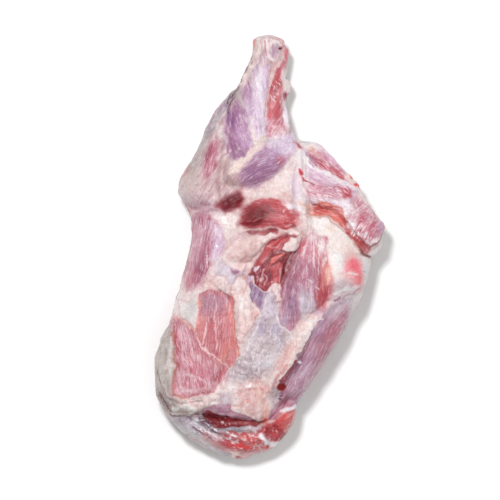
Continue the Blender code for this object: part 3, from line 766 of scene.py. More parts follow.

# Tendons, edges and cracks, with some lines of painted shade and painted highlight: name, colour, half
# width, strength, height, routes.
LINES = [
    ("shank_edge", "7c4e58", 0.7, 0.85, -0.5, "-16,152 -21,140 -26,128 -30,118 -34,108"),
    ("shank_shadow", "543042", 0.9, 0.8, -0.3, "-29,125 -32,120 -34,116"),
    ("shank_band", "f6e0d6", 2.2, 0.9, 0.3, "-6,85 -11,79 -17,73 -25,66 -31,60"),
    ("shank_band_upper", "f6e4de", 0.9, 0.8, 0.2, "-15.6,104 -15,94 -13.4,86 -12,80"),
    ("nub", "f2e2dc", 3.4, 0.9, 0.3, "15,130 17,130.5"),
    # pale rim round the knuckle's knob, raised, with painted highlight on it
    ("knuckle_ring", "fae8ea", 1, 0.85, 0.7, "8,163.6 3,164.6 -2,162 -3.4,157 -1.6,151.6 2,149.4"),
    ("knuckle_rim", "ce747a", 0.5, 0.6, -0.4, "-4.6,165 -5,159 -3.6,153"),
    ("knuckle_top", "ce6e74", 0.5, 0.5, 0, "0,167 5,166.6 9,164 11,161"),
    ("knuckle_knob", "faece6", 1.4, 0.6, 0.7, "-10,168 -9,162 -10.4,154"),
    # painted shade along the calf's left edge
    ("calf_rim", "96607c", 1.2, 0.6, -0.3, "-36,118 -45,105 -55,88 -62,72"),
    ("flap_white", "faf4f6", 1.5, 0.75, 0.4, "24,77 28,70 31,65 36,61.4 45,57.6"),
    ("flap_white_end", "faeef0", 1.1, 0.75, 0.3, "45,57.6 54,53.4 62,50 69,45 77,37"),
    ("flap_hem", "fae2dc", 1.6, 0.8, 0.3, "61,57 67,52 74,45 79,37"),
    ("flap_fleck_1", "f05c62", 0.5, 0.7, 0, "63.6,56 65.4,54"),
    ("flap_fleck_2", "f02c36", 0.7, 0.85, 0, "67.6,49.6 69.4,47.8"),
    ("flap_fleck_pair", "f05c62", 0.4, 0.6, 0, "71.4,45.4 71.9,44.8", "74,40.2 75,39"),
    ("flap_crack", "a0323a", 0.5, 0.8, -0.3, "26,54 29,51 33,50"),
    ("fold_spot_1", "ce2230", 1.2, 0.85, 0, "23,61 24.4,58.4"),
    ("fold_spot_2", "d6464c", 0.6, 0.8, 0, "25.6,55.4 27,53"),
    ("fold_peach", "f6c4b0", 1, 0.75, 0.2, "23,35.6 27,32.6 30.5,31.5"),
    # painted shade in the crease under the flap's end
    ("flap_under", "8c3e38", 0.7, 0.75, -0.4, "80,-1 84,3 88,8 90,12"),
    ("flap_shadow", "82322e", 0.7, 0.7, -0.4, "72,-3 76,-6.5 80,-8"),
    ("dome_rim", "cea096", 0.5, 0.6, -0.3, "38,24 46,23 54,17 60,11 68,1 73,-6"),
    ("dome_mark", "c4969a", 0.6, 0.6, -0.2, "73,-19.5 75,-20"),
    ("dome_thread", "fce2e2", 0.5, 0.9, 0.2, "61,-20 64,-21.5 69,-21"),
    ("dome_crack", "967e86", 0.4, 0.6, -0.3, "57,-41 60,-38.5 63,-36.5 67,-34 71,-33"),
    ("dome_fold_1", "965c70", 0.8, 0.7, -0.3, "51,-43 54,-40"),
    ("dome_fold_2", "f0eef2", 0.9, 0.7, 0.4, "51,-38 57,-35 63,-33 70,-31"),
    ("centre_left", "f6e2e4", 0.45, 0.8, 0.2, "17.8,-3.4 16.4,-8 14.6,-13 12,-19"),
    ("centre_ray_1", "f2d6de", 0.5, 0.6, 0.1, "30.6,9 28,2 25.6,-7"),
    ("centre_ray_2", "f8e2e8", 0.6, 0.55, 0.1, "33,9 32.4,3 32,-2"),
    ("centre_ray_3", "fceef2", 0.5, 0.7, 0.1, "35,7 34.6,0 33.4,-8 34.4,-16"),
    ("centre_ray_pair", "f8e4ec", 0.4, 0.7, 0.1, "38.6,-6 38.6,-14 37.6,-22", "22,-6 20.4,-14 17.6,-22"),
    ("centre_thread", "f4e2e8", 0.4, 0.9, 0.1, "29,-25 31,-26.5 33,-28"),
    ("centre_thread_pair", "f0dce4", 0.4, 0.9, 0.1, "35.5,-32 38,-34", "43.5,-8 42.5,-13 41.5,-16"),
    ("centre_hem", "f4ecf2", 0.6, 0.8, 0.5, "5.5,-52 6.5,-58 8.5,-63.5 13,-66.5 16,-68.5 17,-73"),
    ("window_hem", "faf2ee", 0.6, 0.7, 0.5, "-17.4,-32 -16.6,-40 -12,-47.6 -8.6,-54"),
    ("inner_hem", "f6e0e2", 0.45, 0.8, 0.3, "-13.6,-28.6 -9,-33.4 -4,-36 1,-33"),
    ("inner_thread_pair", "f0c8cc", 0.4, 0.75, 0.2, "-8,-27 -6,-22 -4.6,-17", "-4.4,-30 -3.6,-24 -4.4,-20"),
    ("inner_thread_right", "f6c8c4", 0.5, 0.8, 0.2, "7.4,-17 7.8,-22 7,-27"),
    ("inner_thread_top", "ecb4b8", 0.3, 0.7, 0.1, "-4,2 4,-1 7,2"),
    ("plain_wrinkles", "eee8ee", 0.4, 0.7, 0.25,
     "-10,-62 -13,-68 -17,-74 -18,-82",
     "-1,-87 -7,-89.5 -11,-94 -9,-99",
     "3,-70 8,-74 7,-80 11,-84",
     "-25,-88 -18,-92 -12,-91"),
    ("plain_crack", "a68692", 0.4, 0.6, -0.25, "-28,-99 -22,-102 -14,-101 -8,-104"),
    ("plain_fold", "f2ecf0", 0.6, 0.8, 0.3, "30,-58.5 35,-57.5 42,-57"),
    # a groove with painted shadow along it, between the pale band and the long muscle
    ("band_seam", "96707a", 0.6, 0.7, -0.5, "35,-65 31,-73 27,-80 22,-87"),
    ("band_seam_low", "8c2c38", 0.9, 0.85, -0.4, "20,-90 17,-95 13,-101 9,-107"),
    ("band_rose", "d4706e", 0.8, 0.5, 0, "12,-93 9,-99 5,-105 2,-110"),
    ("flank_thread", "e2c8d8", 0.35, 0.8, 0.1, "20,-108 25,-101 33,-91"),
    ("flank_fleck", "faf4f8", 0.7, 0.9, 0.3, "22.2,-90.5 22.8,-90.9"),
    ("ladders", "602e54", 0.6, 0.8, -0.2,
     "8,-115 9.6,-115.6",
     "7.6,-118 9.4,-117.2",
     "7.2,-120.4 9,-120"),
    ("flank_hem", "f6f0f4", 0.8, 0.95, 0.4, "9,-131 13,-129.6 17,-128.6 19.5,-127"),
    ("brisket_threads_upper", "f8d8dc", 0.38, 0.75, 0.1,
     "-59,-68 -57,-74 -54.6,-79 -51,-82.6 -46,-86 -40,-90 -36,-94 -33,-97",
     "-50.5,-60 -52,-67 -54,-76"),
    ("brisket_thread_long", "f6d0d6", 0.35, 0.6, 0.1, "-43.4,-44 -43.8,-58 -42.6,-78"),
    ("brisket_threads_lower", "f6d6dc", 0.35, 0.6, 0.1,
     "-72,-103 -64,-101 -56,-103 -48,-110",
     "-74,-117 -62,-113 -50,-112 -44,-114"),
    ("brisket_rim", "c4826e", 0.5, 0.7, -0.3, "-77,-66 -76,-78 -75.3,-92 -77,-106 -77,-119 -64,-120"),
    ("brisket_rim_notch", "ee9e8e", 0.8, 0.65, 0.1, "-57,-40 -56,-48 -56.6,-57 -60,-64"),
    ("brisket_rim_right", "ec9286", 0.8, 0.6, 0.1, "-31,-40 -30,-50 -29.6,-62 -27.4,-76 -25,-85 -31,-94"),
    ("brisket_hem", "f4baac", 0.8, 0.75, 0.3, "-77,-57 -71,-57 -65,-62 -60.5,-65.5"),
    ("side_fold_1", "967c76", 0.6, 0.7, -0.6, "-90,-99 -87,-108 -83,-117 -79,-122"),
    ("side_fold_2", "a08882", 0.5, 0.6, -0.6, "-80,-120 -73,-124 -65,-124.6 -54,-122"),
    ("side_fold_3", "703e3c", 0.6, 0.7, -0.5, "-89,-116 -86,-122 -82,-128 -80,-132"),
    ("side_fold_4", "eeeae6", 0.9, 0.8, 0.6, "-78,-129 -68,-127 -58,-129"),
    ("side_spot", "d65450", 0.9, 0.8, 0, "-65,-124 -63.5,-123.6"),
    ("end_lip", "78585a", 0.7, 0.8, -0.7, "-80,-135 -73,-135.6 -66,-134 -57,-134.2"),
    ("end_lip_pale", "f0eae8", 0.7, 0.8, 0.4, "-78,-133.4 -70,-134.2 -62,-133"),
    ("end_tail", "8c1a1c", 0.7, 0.9, -0.4, "-14,-139.3 -8,-140.6 -4,-139"),
    ("end_hem", "c4383a", 0.6, 0.85, 0, "-32,-147 -25,-148.5 -19,-150 -17,-154"),
    ("end_wrinkle_1", "684656", 0.6, 0.8, -0.4, "-58,-137 -52,-141 -47,-146 -40,-149"),
    ("end_wrinkle_2", "f6eef4", 0.6, 0.8, 0.3, "-62,-139 -56,-143 -50,-148 -43,-151"),
    ("end_wrinkle_3", "785462", 0.5, 0.7, -0.4, "-62,-144 -55,-148 -48,-152.6"),
    ("end_fleck_pair", "faf4f6", 0.7, 0.9, 0.3, "-50,-148 -47,-149", "-31,-150.5 -28,-151"),
    ("end_fleck", "faf0f0", 0.6, 0.9, 0.3, "-30,-155 -27,-155.4"),
    ("end_thread", "fad6d6", 0.4, 0.85, 0.2, "-12,-157 -9,-161 -7,-164"),
    ("end_crescent", "fff6fc", 1.7, 1, 0.6, "-6.2,-150 -4.8,-154 -1.6,-157 3,-158.8 8,-157.6"),
    ("end_curl", "fcd6ce", 2.4, 0.95, 0.9, "-28,-166 -25,-169 -20,-168.5"),
    ("end_curl_core", "c43c42", 0.6, 0.85, -0.4, "-26.5,-167.5 -23,-168"),
    ("end_rim", "e69696", 1.4, 0.7, 0.3, "-20,-166.5 -10,-166 -3,-165 2,-161.5"),
]

# Round ends of vessels: colours of the hollow and the wall, middle x and y, half length, half width, angle.
VESSELS = [
    ("841418", "963c42", 8.7, -111, 3.4, 2.8, 25),
    ("70241e", "be6e6a", 8.4, 159, 1.7, 1.2, 20),
]

# Flecks of fat in the flesh, and painted glints of wet flesh where noted: colour, (length, width), angle,
# how much is left clear, strength, outline.
MARBLING_AND_GLINTS = [
    ("fcf2f6", (3.6, 0.9), 58, 0.12, 0.9, "66,21 72,22 78,10 84,6 80,2 70,6"),
    ("fef6f8", (3.4, 1), 60, -0.04, 0.9, "60,21 68,22 73,9 68,7 61,13"),
    ("f6e6ee", (3, 0.7), 50, 0.36, 0.75, "60,34 72,38 88,24 80,14 64,22"),
    # painted glints: white specks on the wet neck muscle
    ("fae2e2", (1.4, 0.8), 40, 0.36, 0.8, "6,30 16,30 26,28 24,17 10,17"),
    ("f0bec2", (4, 0.6), 66, 0.46, 0.6, "-14,-20 -4,-12 0,-14 -2,-32 -10,-32"),
    ("fae2e6", (3, 0.8), 125, 0.3, 0.8, "0,132 8,136 11,128 10,116 -1,116"),
    ("f8d6da", (2, 0.9), 30, 0.22, 0.8, "-3,97 10,99 11,88 2,84"),
    # painted glints dotted along the shank's ridge
    ("fcf2fa", (1.4, 0.8), 95, 0.42, 0.8, "-16,128 -4,140 -2,96 -10,84 -18,92"),
    ("f6d8e4", (2.2, 0.9), -50, 0.34, 0.7, "28,78 44,80 60,62 56,54 44,58 30,66"),
    ("f8dee8", (2, 0.8), -14, 0.18, 0.8, "28,52 60,49 65,38 30,38"),
    ("fef4f8", (2.6, 0.9), 62, 0.1, 0.85, "30,37 46,42 60,38 66,26 60,24 56,32 46,36 34,34"),
    ("fcf2f6", (1.4, 0.8), 0, 0.34, 0.8, "44,40 64,38 68,28 58,30 46,36"),
    ("f4c4ba", (5, 0.6), -10, 0.3, 0.65, "31,33 48,36 58,30 58,24 44,28"),
    ("fcf0f2", (1.8, 0.9), 70, 0.2, 0.85, "36,6 44,6 45,-6 38,-7"),
    # painted glints: white specks on the cut's wet red
    ("fae2e2", (1.4, 0.9), 0, 0.46, 0.9, "-52,-134 -30,-138 -28,-141 -46,-142"),
    ("f8d4d6", (1.8, 0.9), 40, 0.4, 0.85, "-4,-150 0,-144 5,-146 9,-154 0,-156"),
    # painted glints: white specks on the cut end's wet lumps
    ("fcf4f8", (2.2, 1), -24, 0.24, 0.85, "-62,-136 -46,-142 -34,-147 -28,-156 -50,-154 -62,-148"),
    ("fcecee", (1.6, 1), 0, 0.3, 0.8, "-30,-149 -12,-142 -6,-150 -8,-162 -30,-162"),
    ("dc6064", (3, 0.9), 30, 0.44, 0.6, "-20,-112 -6,-112 -4,-126 -20,-128"),
    ("dc9c9c", (3.4, 1), 70, 0.4, 0.4, "-30,-40 -14,-40 -12,-70 -24,-84"),
    ("f6e8ec", (2.4, 0.7), 20, 0.44, 0.6, "-30,-84 0,-62 14,-74 -4,-106 -32,-106"),
]


# ---------------------------------------------------------------- painting

RAGGED = ((5.0, 1.3), (1.8, 0.5))  # size and reach of the waves that every painted edge has
RAGGED_SHIFT = 40  # keeps the waves along x from matching those along y
STREAK_WAVE = (16.0, 2.0)  # size and reach of the waves in the fibres
WAVE_SHIFT = 90
STREAK_HEIGHT = 9.0  # size of a streak up a side
STREAK_SHARES = (0.6, 0.5)  # of the streaks and of finer ones
FINE_STREAK = (1 / 1.7, 0.45)  # length and width of the finer ones, as shares of the others'
FINE_SHIFT = (5, 0, 3)
CRUMBS = ((4.6, 0.5), (2.1, 0.3))  # size and share of the small lumps of fat
CRUMB_SHIFT = (17, 0, 0)
CRUMB_ROUNDNESS = 3
CRUMB_CREASE = 0.8
BEND_CELL = (11, 6, 14)  # what the threads of membrane wander round
KINK_CELL = (3, 3, 5)
KINK_SHARE = 0.35
BARE_CELL = (16, 9, 20)  # patches that have threads or none
BEND_SHIFT, BARE_SHIFT = (0, 0, 8), (31, 0, 0)
THREAD_EDGE = (0.09, 0.08)  # where a thread ends and how far it fades, as are the next
THREADED_EDGE = (0.25, 0.4)
BASE_PATCH = 16.0  # size of the fat's paler and pinker patches
BASE_TONES = (1.3, 0.5)  # how far those patches and the lumps move its tone
MOTTLE = 8.0  # size of a tissue's own patches
MOTTLE_HEIGHT = 30  # how far up its noise is taken, so that it doesn't match the fat's

CONTRAST = 0.72  # how far streaks and mottles move the tone from its middle
STREAK_TONE = 1.7
# painted shade on the lumps: how far their creases darken and their tops lighten
LUMP_SHADING = 1.2
TONE_RELIEF = 0.10  # how far what is pale stands above what is dark
THREAD_RELIEF = 0.3
FLECK_RELIEF = 0.15
FIBRE_FINENESS = (1, 4, 2)  # how much closer the finest fibres lie across and up than along
CREASE_SOFTNESS = 3.0  # edges at least this soft have no crease along them
CREASE_WIDTH = 0.7
CREASE_DEPTH = 0.5
# painted shade: a sharp edge is darkened along its crease, where shade falls between tissues
CREASE_SHADE = np.array([0.08, 0.20, 0.18])  # how much red, green and blue a crease takes away

GLAZE_REACH = 2.2  # how far out a glaze still shows, in half lengths
GLAZE_EDGE = 1.3  # how sharply it ends; 1 is a bell curve
GLAZE_STREAK = (7.0, 1.5)
GLAZE_UNEVEN = 0.55  # how strongly those streaks show in it
LINE_WOBBLE = (4.0, 0.6)  # size and share of the changes in a line's width
LINE_EDGE = (1.95, 1.3)  # where a line ends and how far it fades, in half widths
STEEP_SIDE = 0.25  # how far up the upper half lines begin to show
FLECK_HEIGHT = 6.0  # size of a fleck of fat up a side
FLECK_SHIFT = (11, 0, 0)
FLECK_EDGE = 0.22
# marbling here takes in the painted glints of wet flesh too
MARBLED_EDGE = 3  # how far marbling fades at its outline
VESSEL_DEPTH = 0.9
VESSEL_EDGES = {"hollow": (1.05, 0.2), "dip": (1.1, 0.4), "wall": (1.3, 0.25)}  # ends and fades, as above
WALL_STRENGTH = 0.7
OUTER_PATCH = 34.0  # size of the muscle patches that show through the outer cover
OUTER_MOTTLE = 11.0
OUTER_GRAIN = 7.0
OUTER_TONE = 1.2
OUTER_FAT_GRAIN = 0.4
OUTER_PATCH_EDGE = (0.05, 0.2)  # where muscle begins to show, and how far until it's full
OUTER_BLEND = 0.45  # how far up the upper half the outer side's colour reaches


class Skin:
    """The skin while it's painted: where each point is, and its colour, height, wetness and fibres."""

    def __init__(self, points, upper):
        self.x, self.y, self.z = points.T
        self.upper = upper
        self.plan_x, self.plan_y = self.x.copy(), self.y.copy()
        for size, reach in RAGGED:
            self.plan_x += reach * clouds(self.x + RAGGED_SHIFT, self.y, self.z / 2, size, 1)
            self.plan_y += reach * clouds(self.x, self.y + RAGGED_SHIFT, self.z / 2, size, 1)
        self.colour = np.zeros((len(points), 3))
        self.height, self.wet, self.web = np.zeros((3, len(points)))
        self.fibre = points.copy()

    def near(self, route, reach):
        """The points that may lie within reach of a route or outline."""
        stops = np.array(route)[:, :2]
        low, high = stops.min(axis=0) - reach, stops.max(axis=0) + reach
        boxed = (self.x > low[0]) & (self.x < high[0]) & (self.y > low[1]) & (self.y < high[1])
        return np.flatnonzero(boxed)

    def at(self, rows):
        return self.x[rows], self.y[rows], self.z[rows]

    def plan(self, rows):
        """Where points lie on the plan, once its edges are made ragged."""
        return self.plan_x[rows], self.plan_y[rows]

    def lay(self, rows, colour, weight):
        blend(self.colour, rows, colour, weight[:, None])


def blend(values, rows, target, weight):
    values[rows] += (target - values[rows]) * weight


def turned(x, y, angle):
    """How far places lie along a heading, and across it."""
    heading = np.radians(angle)
    return x * np.cos(heading) + y * np.sin(heading), y * np.cos(heading) - x * np.sin(heading)


def fibre_places(skin, rows, fibres):
    """Where points lie along and across the fibres, which run at an angle, from a point or round one."""
    x, y, z = skin.at(rows)
    size, reach = STREAK_WAVE
    x = x + reach * clouds(x, y, z / 3, size, 2)
    y = y + reach * clouds(x + WAVE_SHIFT, y, z / 3, size, 2)
    if not isinstance(fibres, tuple):
        return turned(x, y, fibres)
    kind, middle_x, middle_y = fibres
    away = np.hypot(x - middle_x, y - middle_y)
    round_it = np.arctan2(y - middle_y, x - middle_x) * np.median(away)
    return (away, round_it) if kind == "fan" else (round_it, away)


def streaks(along, across, z, length, width):
    """Noise drawn out along the fibres, with a finer one on it."""
    fine_cell = (length * FINE_STREAK[0], width * FINE_STREAK[1], STREAK_HEIGHT)
    coarse = cell_noise(along, across, z, (length, width, STREAK_HEIGHT))
    fine = cell_noise(along, across, z, fine_cell, FINE_SHIFT)
    return STREAK_SHARES[0] * coarse + STREAK_SHARES[1] * fine


def crumbs(skin, rows):
    """Small rounded lumps with creases between them, from -1 to 1."""
    total = np.zeros(len(rows))
    for size, share in CRUMBS:
        bumps = np.abs(cell_noise(*skin.at(rows), (size,) * 3, CRUMB_SHIFT))
        total += share * (CRUMB_ROUNDNESS * bumps - CRUMB_CREASE)
    return total


def threads(along, across, z):
    """Thin strands of membrane that wander over the flesh, from 0 to 1."""
    bends = cell_noise(along, across, z, BEND_CELL, BEND_SHIFT)
    bends += KINK_SHARE * cell_noise(along, across, z, KINK_CELL)
    bare = cell_noise(along, across, z, BARE_CELL, BARE_SHIFT)
    return within(np.abs(bends), *THREAD_EDGE) * within(-bare, *THREADED_EDGE)


def tissue_colour(tissue, value):
    """A tissue's deep, middle or pale tone for a value from -1 to 1."""
    deep, middle, pale = tone(tissue.deep), tone(tissue.middle), tone(tissue.pale)
    up, down = np.clip(value, 0, 1)[:, None], np.clip(-value, 0, 1)[:, None]
    return middle + up * (pale - middle) + down * (deep - middle)


def paint_base(skin):
    """Fat over everything, mottled, before any muscle is laid on."""
    fat = TISSUES["cream"]
    lumps = crumbs(skin, np.arange(len(skin.x)))
    patches = clouds(skin.x, skin.y, skin.z, BASE_PATCH)
    # the lumps' share of the tone is painted shade: darker in their creases, paler on their tops
    skin.colour[:] = tissue_colour(fat, BASE_TONES[0] * patches + BASE_TONES[1] * lumps)
    skin.height += fat.lumps * lumps
    skin.wet[:], skin.web[:] = fat.wet, fat.webs


def paint_region(skin, tissue, fibres, streak, softness, height, outline):
    rows = skin.near(outline, softness + 2)
    edge = inside(outline, *skin.plan(rows))
    weight = soft_step(0.5 + edge / softness)
    touched = weight > 0
    rows, edge, weight = rows[touched], edge[touched], weight[touched]
    x, y, z = skin.at(rows)
    along, across = fibre_places(skin, rows, fibres)

    lumps = tissue.lumps * crumbs(skin, rows)
    value = STREAK_TONE * tissue.streaky * streaks(along, across, z, *streak)
    # the lumps' share of the value is painted shade: darker in their creases, paler on their tops
    value += clouds(x, y, z + MOTTLE_HEIGHT, MOTTLE) + LUMP_SHADING * lumps
    strands = tissue.webs * threads(along, across, z) * weight
    skin.lay(rows, tissue_colour(tissue, CONTRAST * value), weight)
    skin.lay(rows, tone(THREAD), strands)
    blend(skin.wet, rows, tissue.wet, weight)
    blend(skin.web, rows, tissue.webs, weight)
    blend(skin.height, rows, height + TONE_RELIEF * value + lumps + THREAD_RELIEF * strands, weight)

    # painted shade along sharp edges: the crease between tissues is darkened as well as pressed in
    crease = max(0, 1 - softness / CREASE_SOFTNESS) * np.exp(-((edge / CREASE_WIDTH) ** 2))
    skin.colour[rows] *= 1 - crease[:, None] * CREASE_SHADE
    skin.height[rows] -= CREASE_DEPTH * crease
    mostly = weight > 0.5
    skin.fibre[rows[mostly]] = np.stack([along, across, z], axis=1)[mostly] * FIBRE_FINENESS


def oval_places(x, y, oval):
    """How far places lie along and across an oval, which ends at 1 both ways."""
    middle_x, middle_y, half_length, half_width, turn = oval
    along, across = turned(x - middle_x, y - middle_y, turn)
    return along / half_length, across / half_width


def paint_glaze(skin, colour, strength, *oval):
    middle_x, middle_y, half_length, half_width, turn = oval
    rows = skin.near([(middle_x, middle_y)], GLAZE_REACH * max(half_length, half_width))
    along, across = oval_places(*skin.plan(rows), oval)
    weight = strength * np.exp(-((along**2 + across**2) ** GLAZE_EDGE))
    uneven = streaks(*fibre_places(skin, rows, turn), skin.z[rows], *GLAZE_STREAK)
    skin.lay(rows, tone(colour), np.clip(weight * (1 + GLAZE_UNEVEN * uneven), 0, 1))


# Flecks of fat, and painted glints of wet flesh, laid inside an outline.
def paint_marbling_and_glints(skin, colour, streak, heading, clear, strength, outline):
    rows = skin.near(outline, 2)
    weight = soft_step(0.5 + inside(outline, *skin.plan(rows)) / MARBLED_EDGE)
    along, across = fibre_places(skin, rows, heading)
    flecks = cell_noise(along, across, skin.z[rows], (*streak, FLECK_HEIGHT), FLECK_SHIFT)
    weight *= strength * soft_step((flecks - clear) / FLECK_EDGE)
    skin.lay(rows, tone(colour), weight)
    skin.height[rows] += FLECK_RELIEF * weight


def paint_line(skin, colour, half_width, strength, height, route):
    rows = skin.near(route, 3 * half_width + 2)
    away, _ = route_reach(rounded(route), *skin.plan(rows))
    size, share = LINE_WOBBLE
    here = half_width * (1 + share * clouds(*skin.at(rows), size, 1))
    weight = strength * within(away / here, *LINE_EDGE)
    weight *= soft_step((skin.upper[rows] - STEEP_SIDE) / (1 - STEEP_SIDE))
    skin.lay(rows, tone(colour), weight)
    skin.height[rows] += height * weight


def paint_vessel(skin, hollow, wall, *oval):
    """The round end of a cut vessel: a dark, dull hollow in a paler wall."""
    middle_x, middle_y, half_length, *_ = oval
    rows = skin.near([(middle_x, middle_y)], 2 * half_length)
    away = np.hypot(*oval_places(skin.x[rows], skin.y[rows], oval))
    deep = within(away, *VESSEL_EDGES["hollow"])
    skin.lay(rows, tone(wall), WALL_STRENGTH * within(away, *VESSEL_EDGES["wall"]))
    skin.lay(rows, tone(hollow), deep)
    skin.wet[rows] *= 1 - deep
    skin.web[rows] *= 1 - deep
    skin.height[rows] -= VESSEL_DEPTH * within(away, *VESSEL_EDGES["dip"])


def paint_outer_side(skin):
    """The side that the shoulder lies on: fat cover, with patches of muscle showing through."""
    patches = clouds(skin.x, skin.y, skin.z, OUTER_PATCH)
    grain = clouds(skin.x / 3, skin.y, skin.z / 3, OUTER_GRAIN)
    mottled = clouds(skin.x, skin.y, skin.z, OUTER_MOTTLE)
    fat = tissue_colour(OUTER_FAT, OUTER_TONE * mottled + OUTER_FAT_GRAIN * grain)
    muscle = tissue_colour(OUTER_MUSCLE, OUTER_TONE * grain)
    begins, until_full = OUTER_PATCH_EDGE
    colour = fat + soft_step((patches - begins) / until_full)[:, None] * (muscle - fat)
    under = within(skin.upper, OUTER_BLEND, OUTER_BLEND)
    skin.lay(slice(None), colour, under)
    skin.height *= 1 - under
    skin.wet += (OUTER_FAT.wet - skin.wet) * under


def painted(points, upper):
    skin = Skin(points, upper)
    paint_base(skin)
    for _, tissue, *look, outline in REGIONS:
        paint_region(skin, TISSUES[tissue], *look, places(outline))
    for glaze in GLAZES:
        paint_glaze(skin, *glaze)
    for *look, outline in MARBLING_AND_GLINTS:
        paint_marbling_and_glints(skin, *look, places(outline))
    for _, colour, half_width, strength, height, *routes in LINES:
        for route in routes:
            paint_line(skin, colour, half_width, strength, height, places(route))
    for vessel in VESSELS:
        paint_vessel(skin, *vessel)
    paint_outer_side(skin)
    return skin


# ---------------------------------------------------------------- the mesh

FINE_LUMPS = ((13.0, 0.9), (5.0, 0.42), (2.2, 0.22))  # size and height of the skin's unevenness
TABLE_REACH = 12.0  # how far up the table presses that unevenness flat
NO_LENGTH = 1e-9


def skin_faces():
    """The sphere's faces, each ring joined to the next."""
    place = np.arange(AROUND)
    after = (place + 1) % AROUND
    ring = AROUND * np.arange(ALONG - 1)[:, None]
    next_ring = ring + AROUND
    faces = np.stack([ring + place, next_ring + place, next_ring + after, ring + after], axis=-1)
    return faces.reshape(-1, 4)


def skin_map():
    """Each face corner's place on the skin's unrolled map."""
    i, j = np.meshgrid(np.arange(ALONG - 1), np.arange(AROUND), indexing="ij")
    corners = [(i, j), (i + 1, j), (i + 1, j + 1), (i, j + 1)]
    places_on_map = np.stack([(column / AROUND, row / (ALONG - 1)) for row, column in corners])
    return places_on_map.transpose(2, 3, 0, 1)


def skin_mesh(name, points):
    mesh = bpy.data.meshes.new(name)
    mesh.from_pydata(points.tolist(), [], skin_faces().tolist())
    mesh.uv_layers.new(name="OFBake").data.foreach_set("uv", skin_map().ravel())
    mesh.shade_smooth()
    return mesh


def add_attribute(mesh, name, kind, values):
    layer = mesh.attributes.new(name, kind, "POINT")
    field = {"FLOAT_COLOR": "color", "FLOAT": "value", "FLOAT_VECTOR": "vector"}[kind]
    layer.data.foreach_set(field, np.ascontiguousarray(values, np.float32).ravel())


def linear(colour):
    """Screen colours as the amounts of light that the shader works with."""
    return np.where(colour <= 0.04045, colour / 12.92, ((colour + 0.055) / 1.055) ** 2.4)


def fitted(points, first, last):
    """The points in metres, where what reaches from first to last just fills the solid's box."""
    low, high = (np.array(corner) for corner in cad_box)
    low, high = low + MARGIN * MM, high - MARGIN * MM
    return np.clip(low + (points - first) * (high - low) / (last - first), low, high)


def outward(points):
    """Which way the skin faces at each point."""
    grid = points.reshape(ALONG, AROUND, 3)
    along = np.gradient(grid, axis=0)
    around = np.roll(grid, -1, axis=1) - np.roll(grid, 1, axis=1)
    facing = np.cross(along, around).reshape(-1, 3)
    return facing / np.maximum(np.linalg.norm(facing, axis=1, keepdims=True), NO_LENGTH)


def raised(points, skin):
    """The points moved out by what is painted on them and by the skin's own unevenness."""
    off_table = soft_step(points[:, 2] / TABLE_REACH)
    stands_out = skin.height * np.clip(2 * skin.upper, 0, 1)
    for size, height in FINE_LUMPS:
        stands_out += height * clouds(*points.T, size, 1) * off_table
    points = points + outward(points) * stands_out[:, None]
    points[:, 2] = np.maximum(points[:, 2], 0.0)
    return points


def lamb_shoulder():
    points, upper = body_points()
    lumpy = LUMP_HEIGHT * clouds(*points.T, LUMP_SIZE, 1) * (1 + 2 * upper)
    points[:, 2] += upper * relief(points[:, 0], points[:, 1]) + lumpy
    skin = painted(points, upper)
    first, last = points.min(axis=0), points.max(axis=0)
    points = raised(points, skin)
    first[2], last[2] = 0.0, points[:, 2].max()
    mesh = skin_mesh("raw_meat_skin", fitted(points, first, last))
    rgb = linear(np.clip(skin.colour, 0, 1))
    add_attribute(mesh, "flesh", "FLOAT_COLOR", np.hstack([rgb, np.ones((len(rgb), 1))]))
    add_attribute(mesh, "wet", "FLOAT", np.clip(skin.wet, 0, 1))
    add_attribute(mesh, "web", "FLOAT", skin.web)
    add_attribute(mesh, "fibre", "FLOAT_VECTOR", skin.fibre)
    mesh.materials.append(raw_meat())
    piece = bpy.data.objects.new("raw_meat_skin", mesh)
    bpy.context.scene.collection.objects.link(piece)
    return piece


# ---------------------------------------------------------------- materials

STRAND_SCALE = 0.32  # fine fibres, to a millimetre of the painted ones
DRAWN_OUT = (0.13, 0.26, 0.13)  # white fibres, which are longer, along, across and up
GRAIN_SCALE = 650.0  # to a metre, as are the next two
PORE_SCALE = 420.0
FILM_SCALE = 520.0
NOISE_SPAN = (0.3, 0.7)  # what most of a noise lies between
FIBRE_SHADES = (0.69, 0.95)
GRAIN_SHADES = (-0.10, 0.10)
WHITE_SPAN = (0.54, 0.66)  # where white fibres begin to show and where they are full
ROUGHNESS_DRY_TO_WET = (0.52, 0.28)
PORE_ROUGHNESS = (-0.10, 0.12)


def node(tree, kind, **settings):
    made = tree.nodes.new(kind)
    for name, value in settings.items():
        setattr(made, name, value)
    return made


def attribute(tree, name, output="Fac"):
    return node(tree, "ShaderNodeAttribute", attribute_name=name).outputs[output]


def object_place(tree):
    return node(tree, "ShaderNodeTexCoord").outputs["Object"]


def noise(tree, place, scale, detail=3.0):
    made = node(tree, "ShaderNodeTexNoise")
    made.inputs["Scale"].default_value = scale
    made.inputs["Detail"].default_value = detail
    tree.links.new(place, made.inputs["Vector"])
    return made.outputs["Fac"]


def ranged(tree, value, span, to_span):
    """A value that goes from one end of a span to the other, put on another span."""
    made = node(tree, "ShaderNodeMapRange")
    for socket, number in zip(("From Min", "From Max", "To Min", "To Max"), (*span, *to_span)):
        made.inputs[socket].default_value = number
    tree.links.new(value, made.inputs["Value"])
    return made.outputs["Result"]


def maths(tree, kind, first, second):
    made = node(tree, "ShaderNodeMath", operation=kind)
    for socket, value in zip(made.inputs, (first, second)):
        if isinstance(value, (int, float)):
            socket.default_value = value
        else:
            tree.links.new(value, socket)
    return made.outputs["Value"]


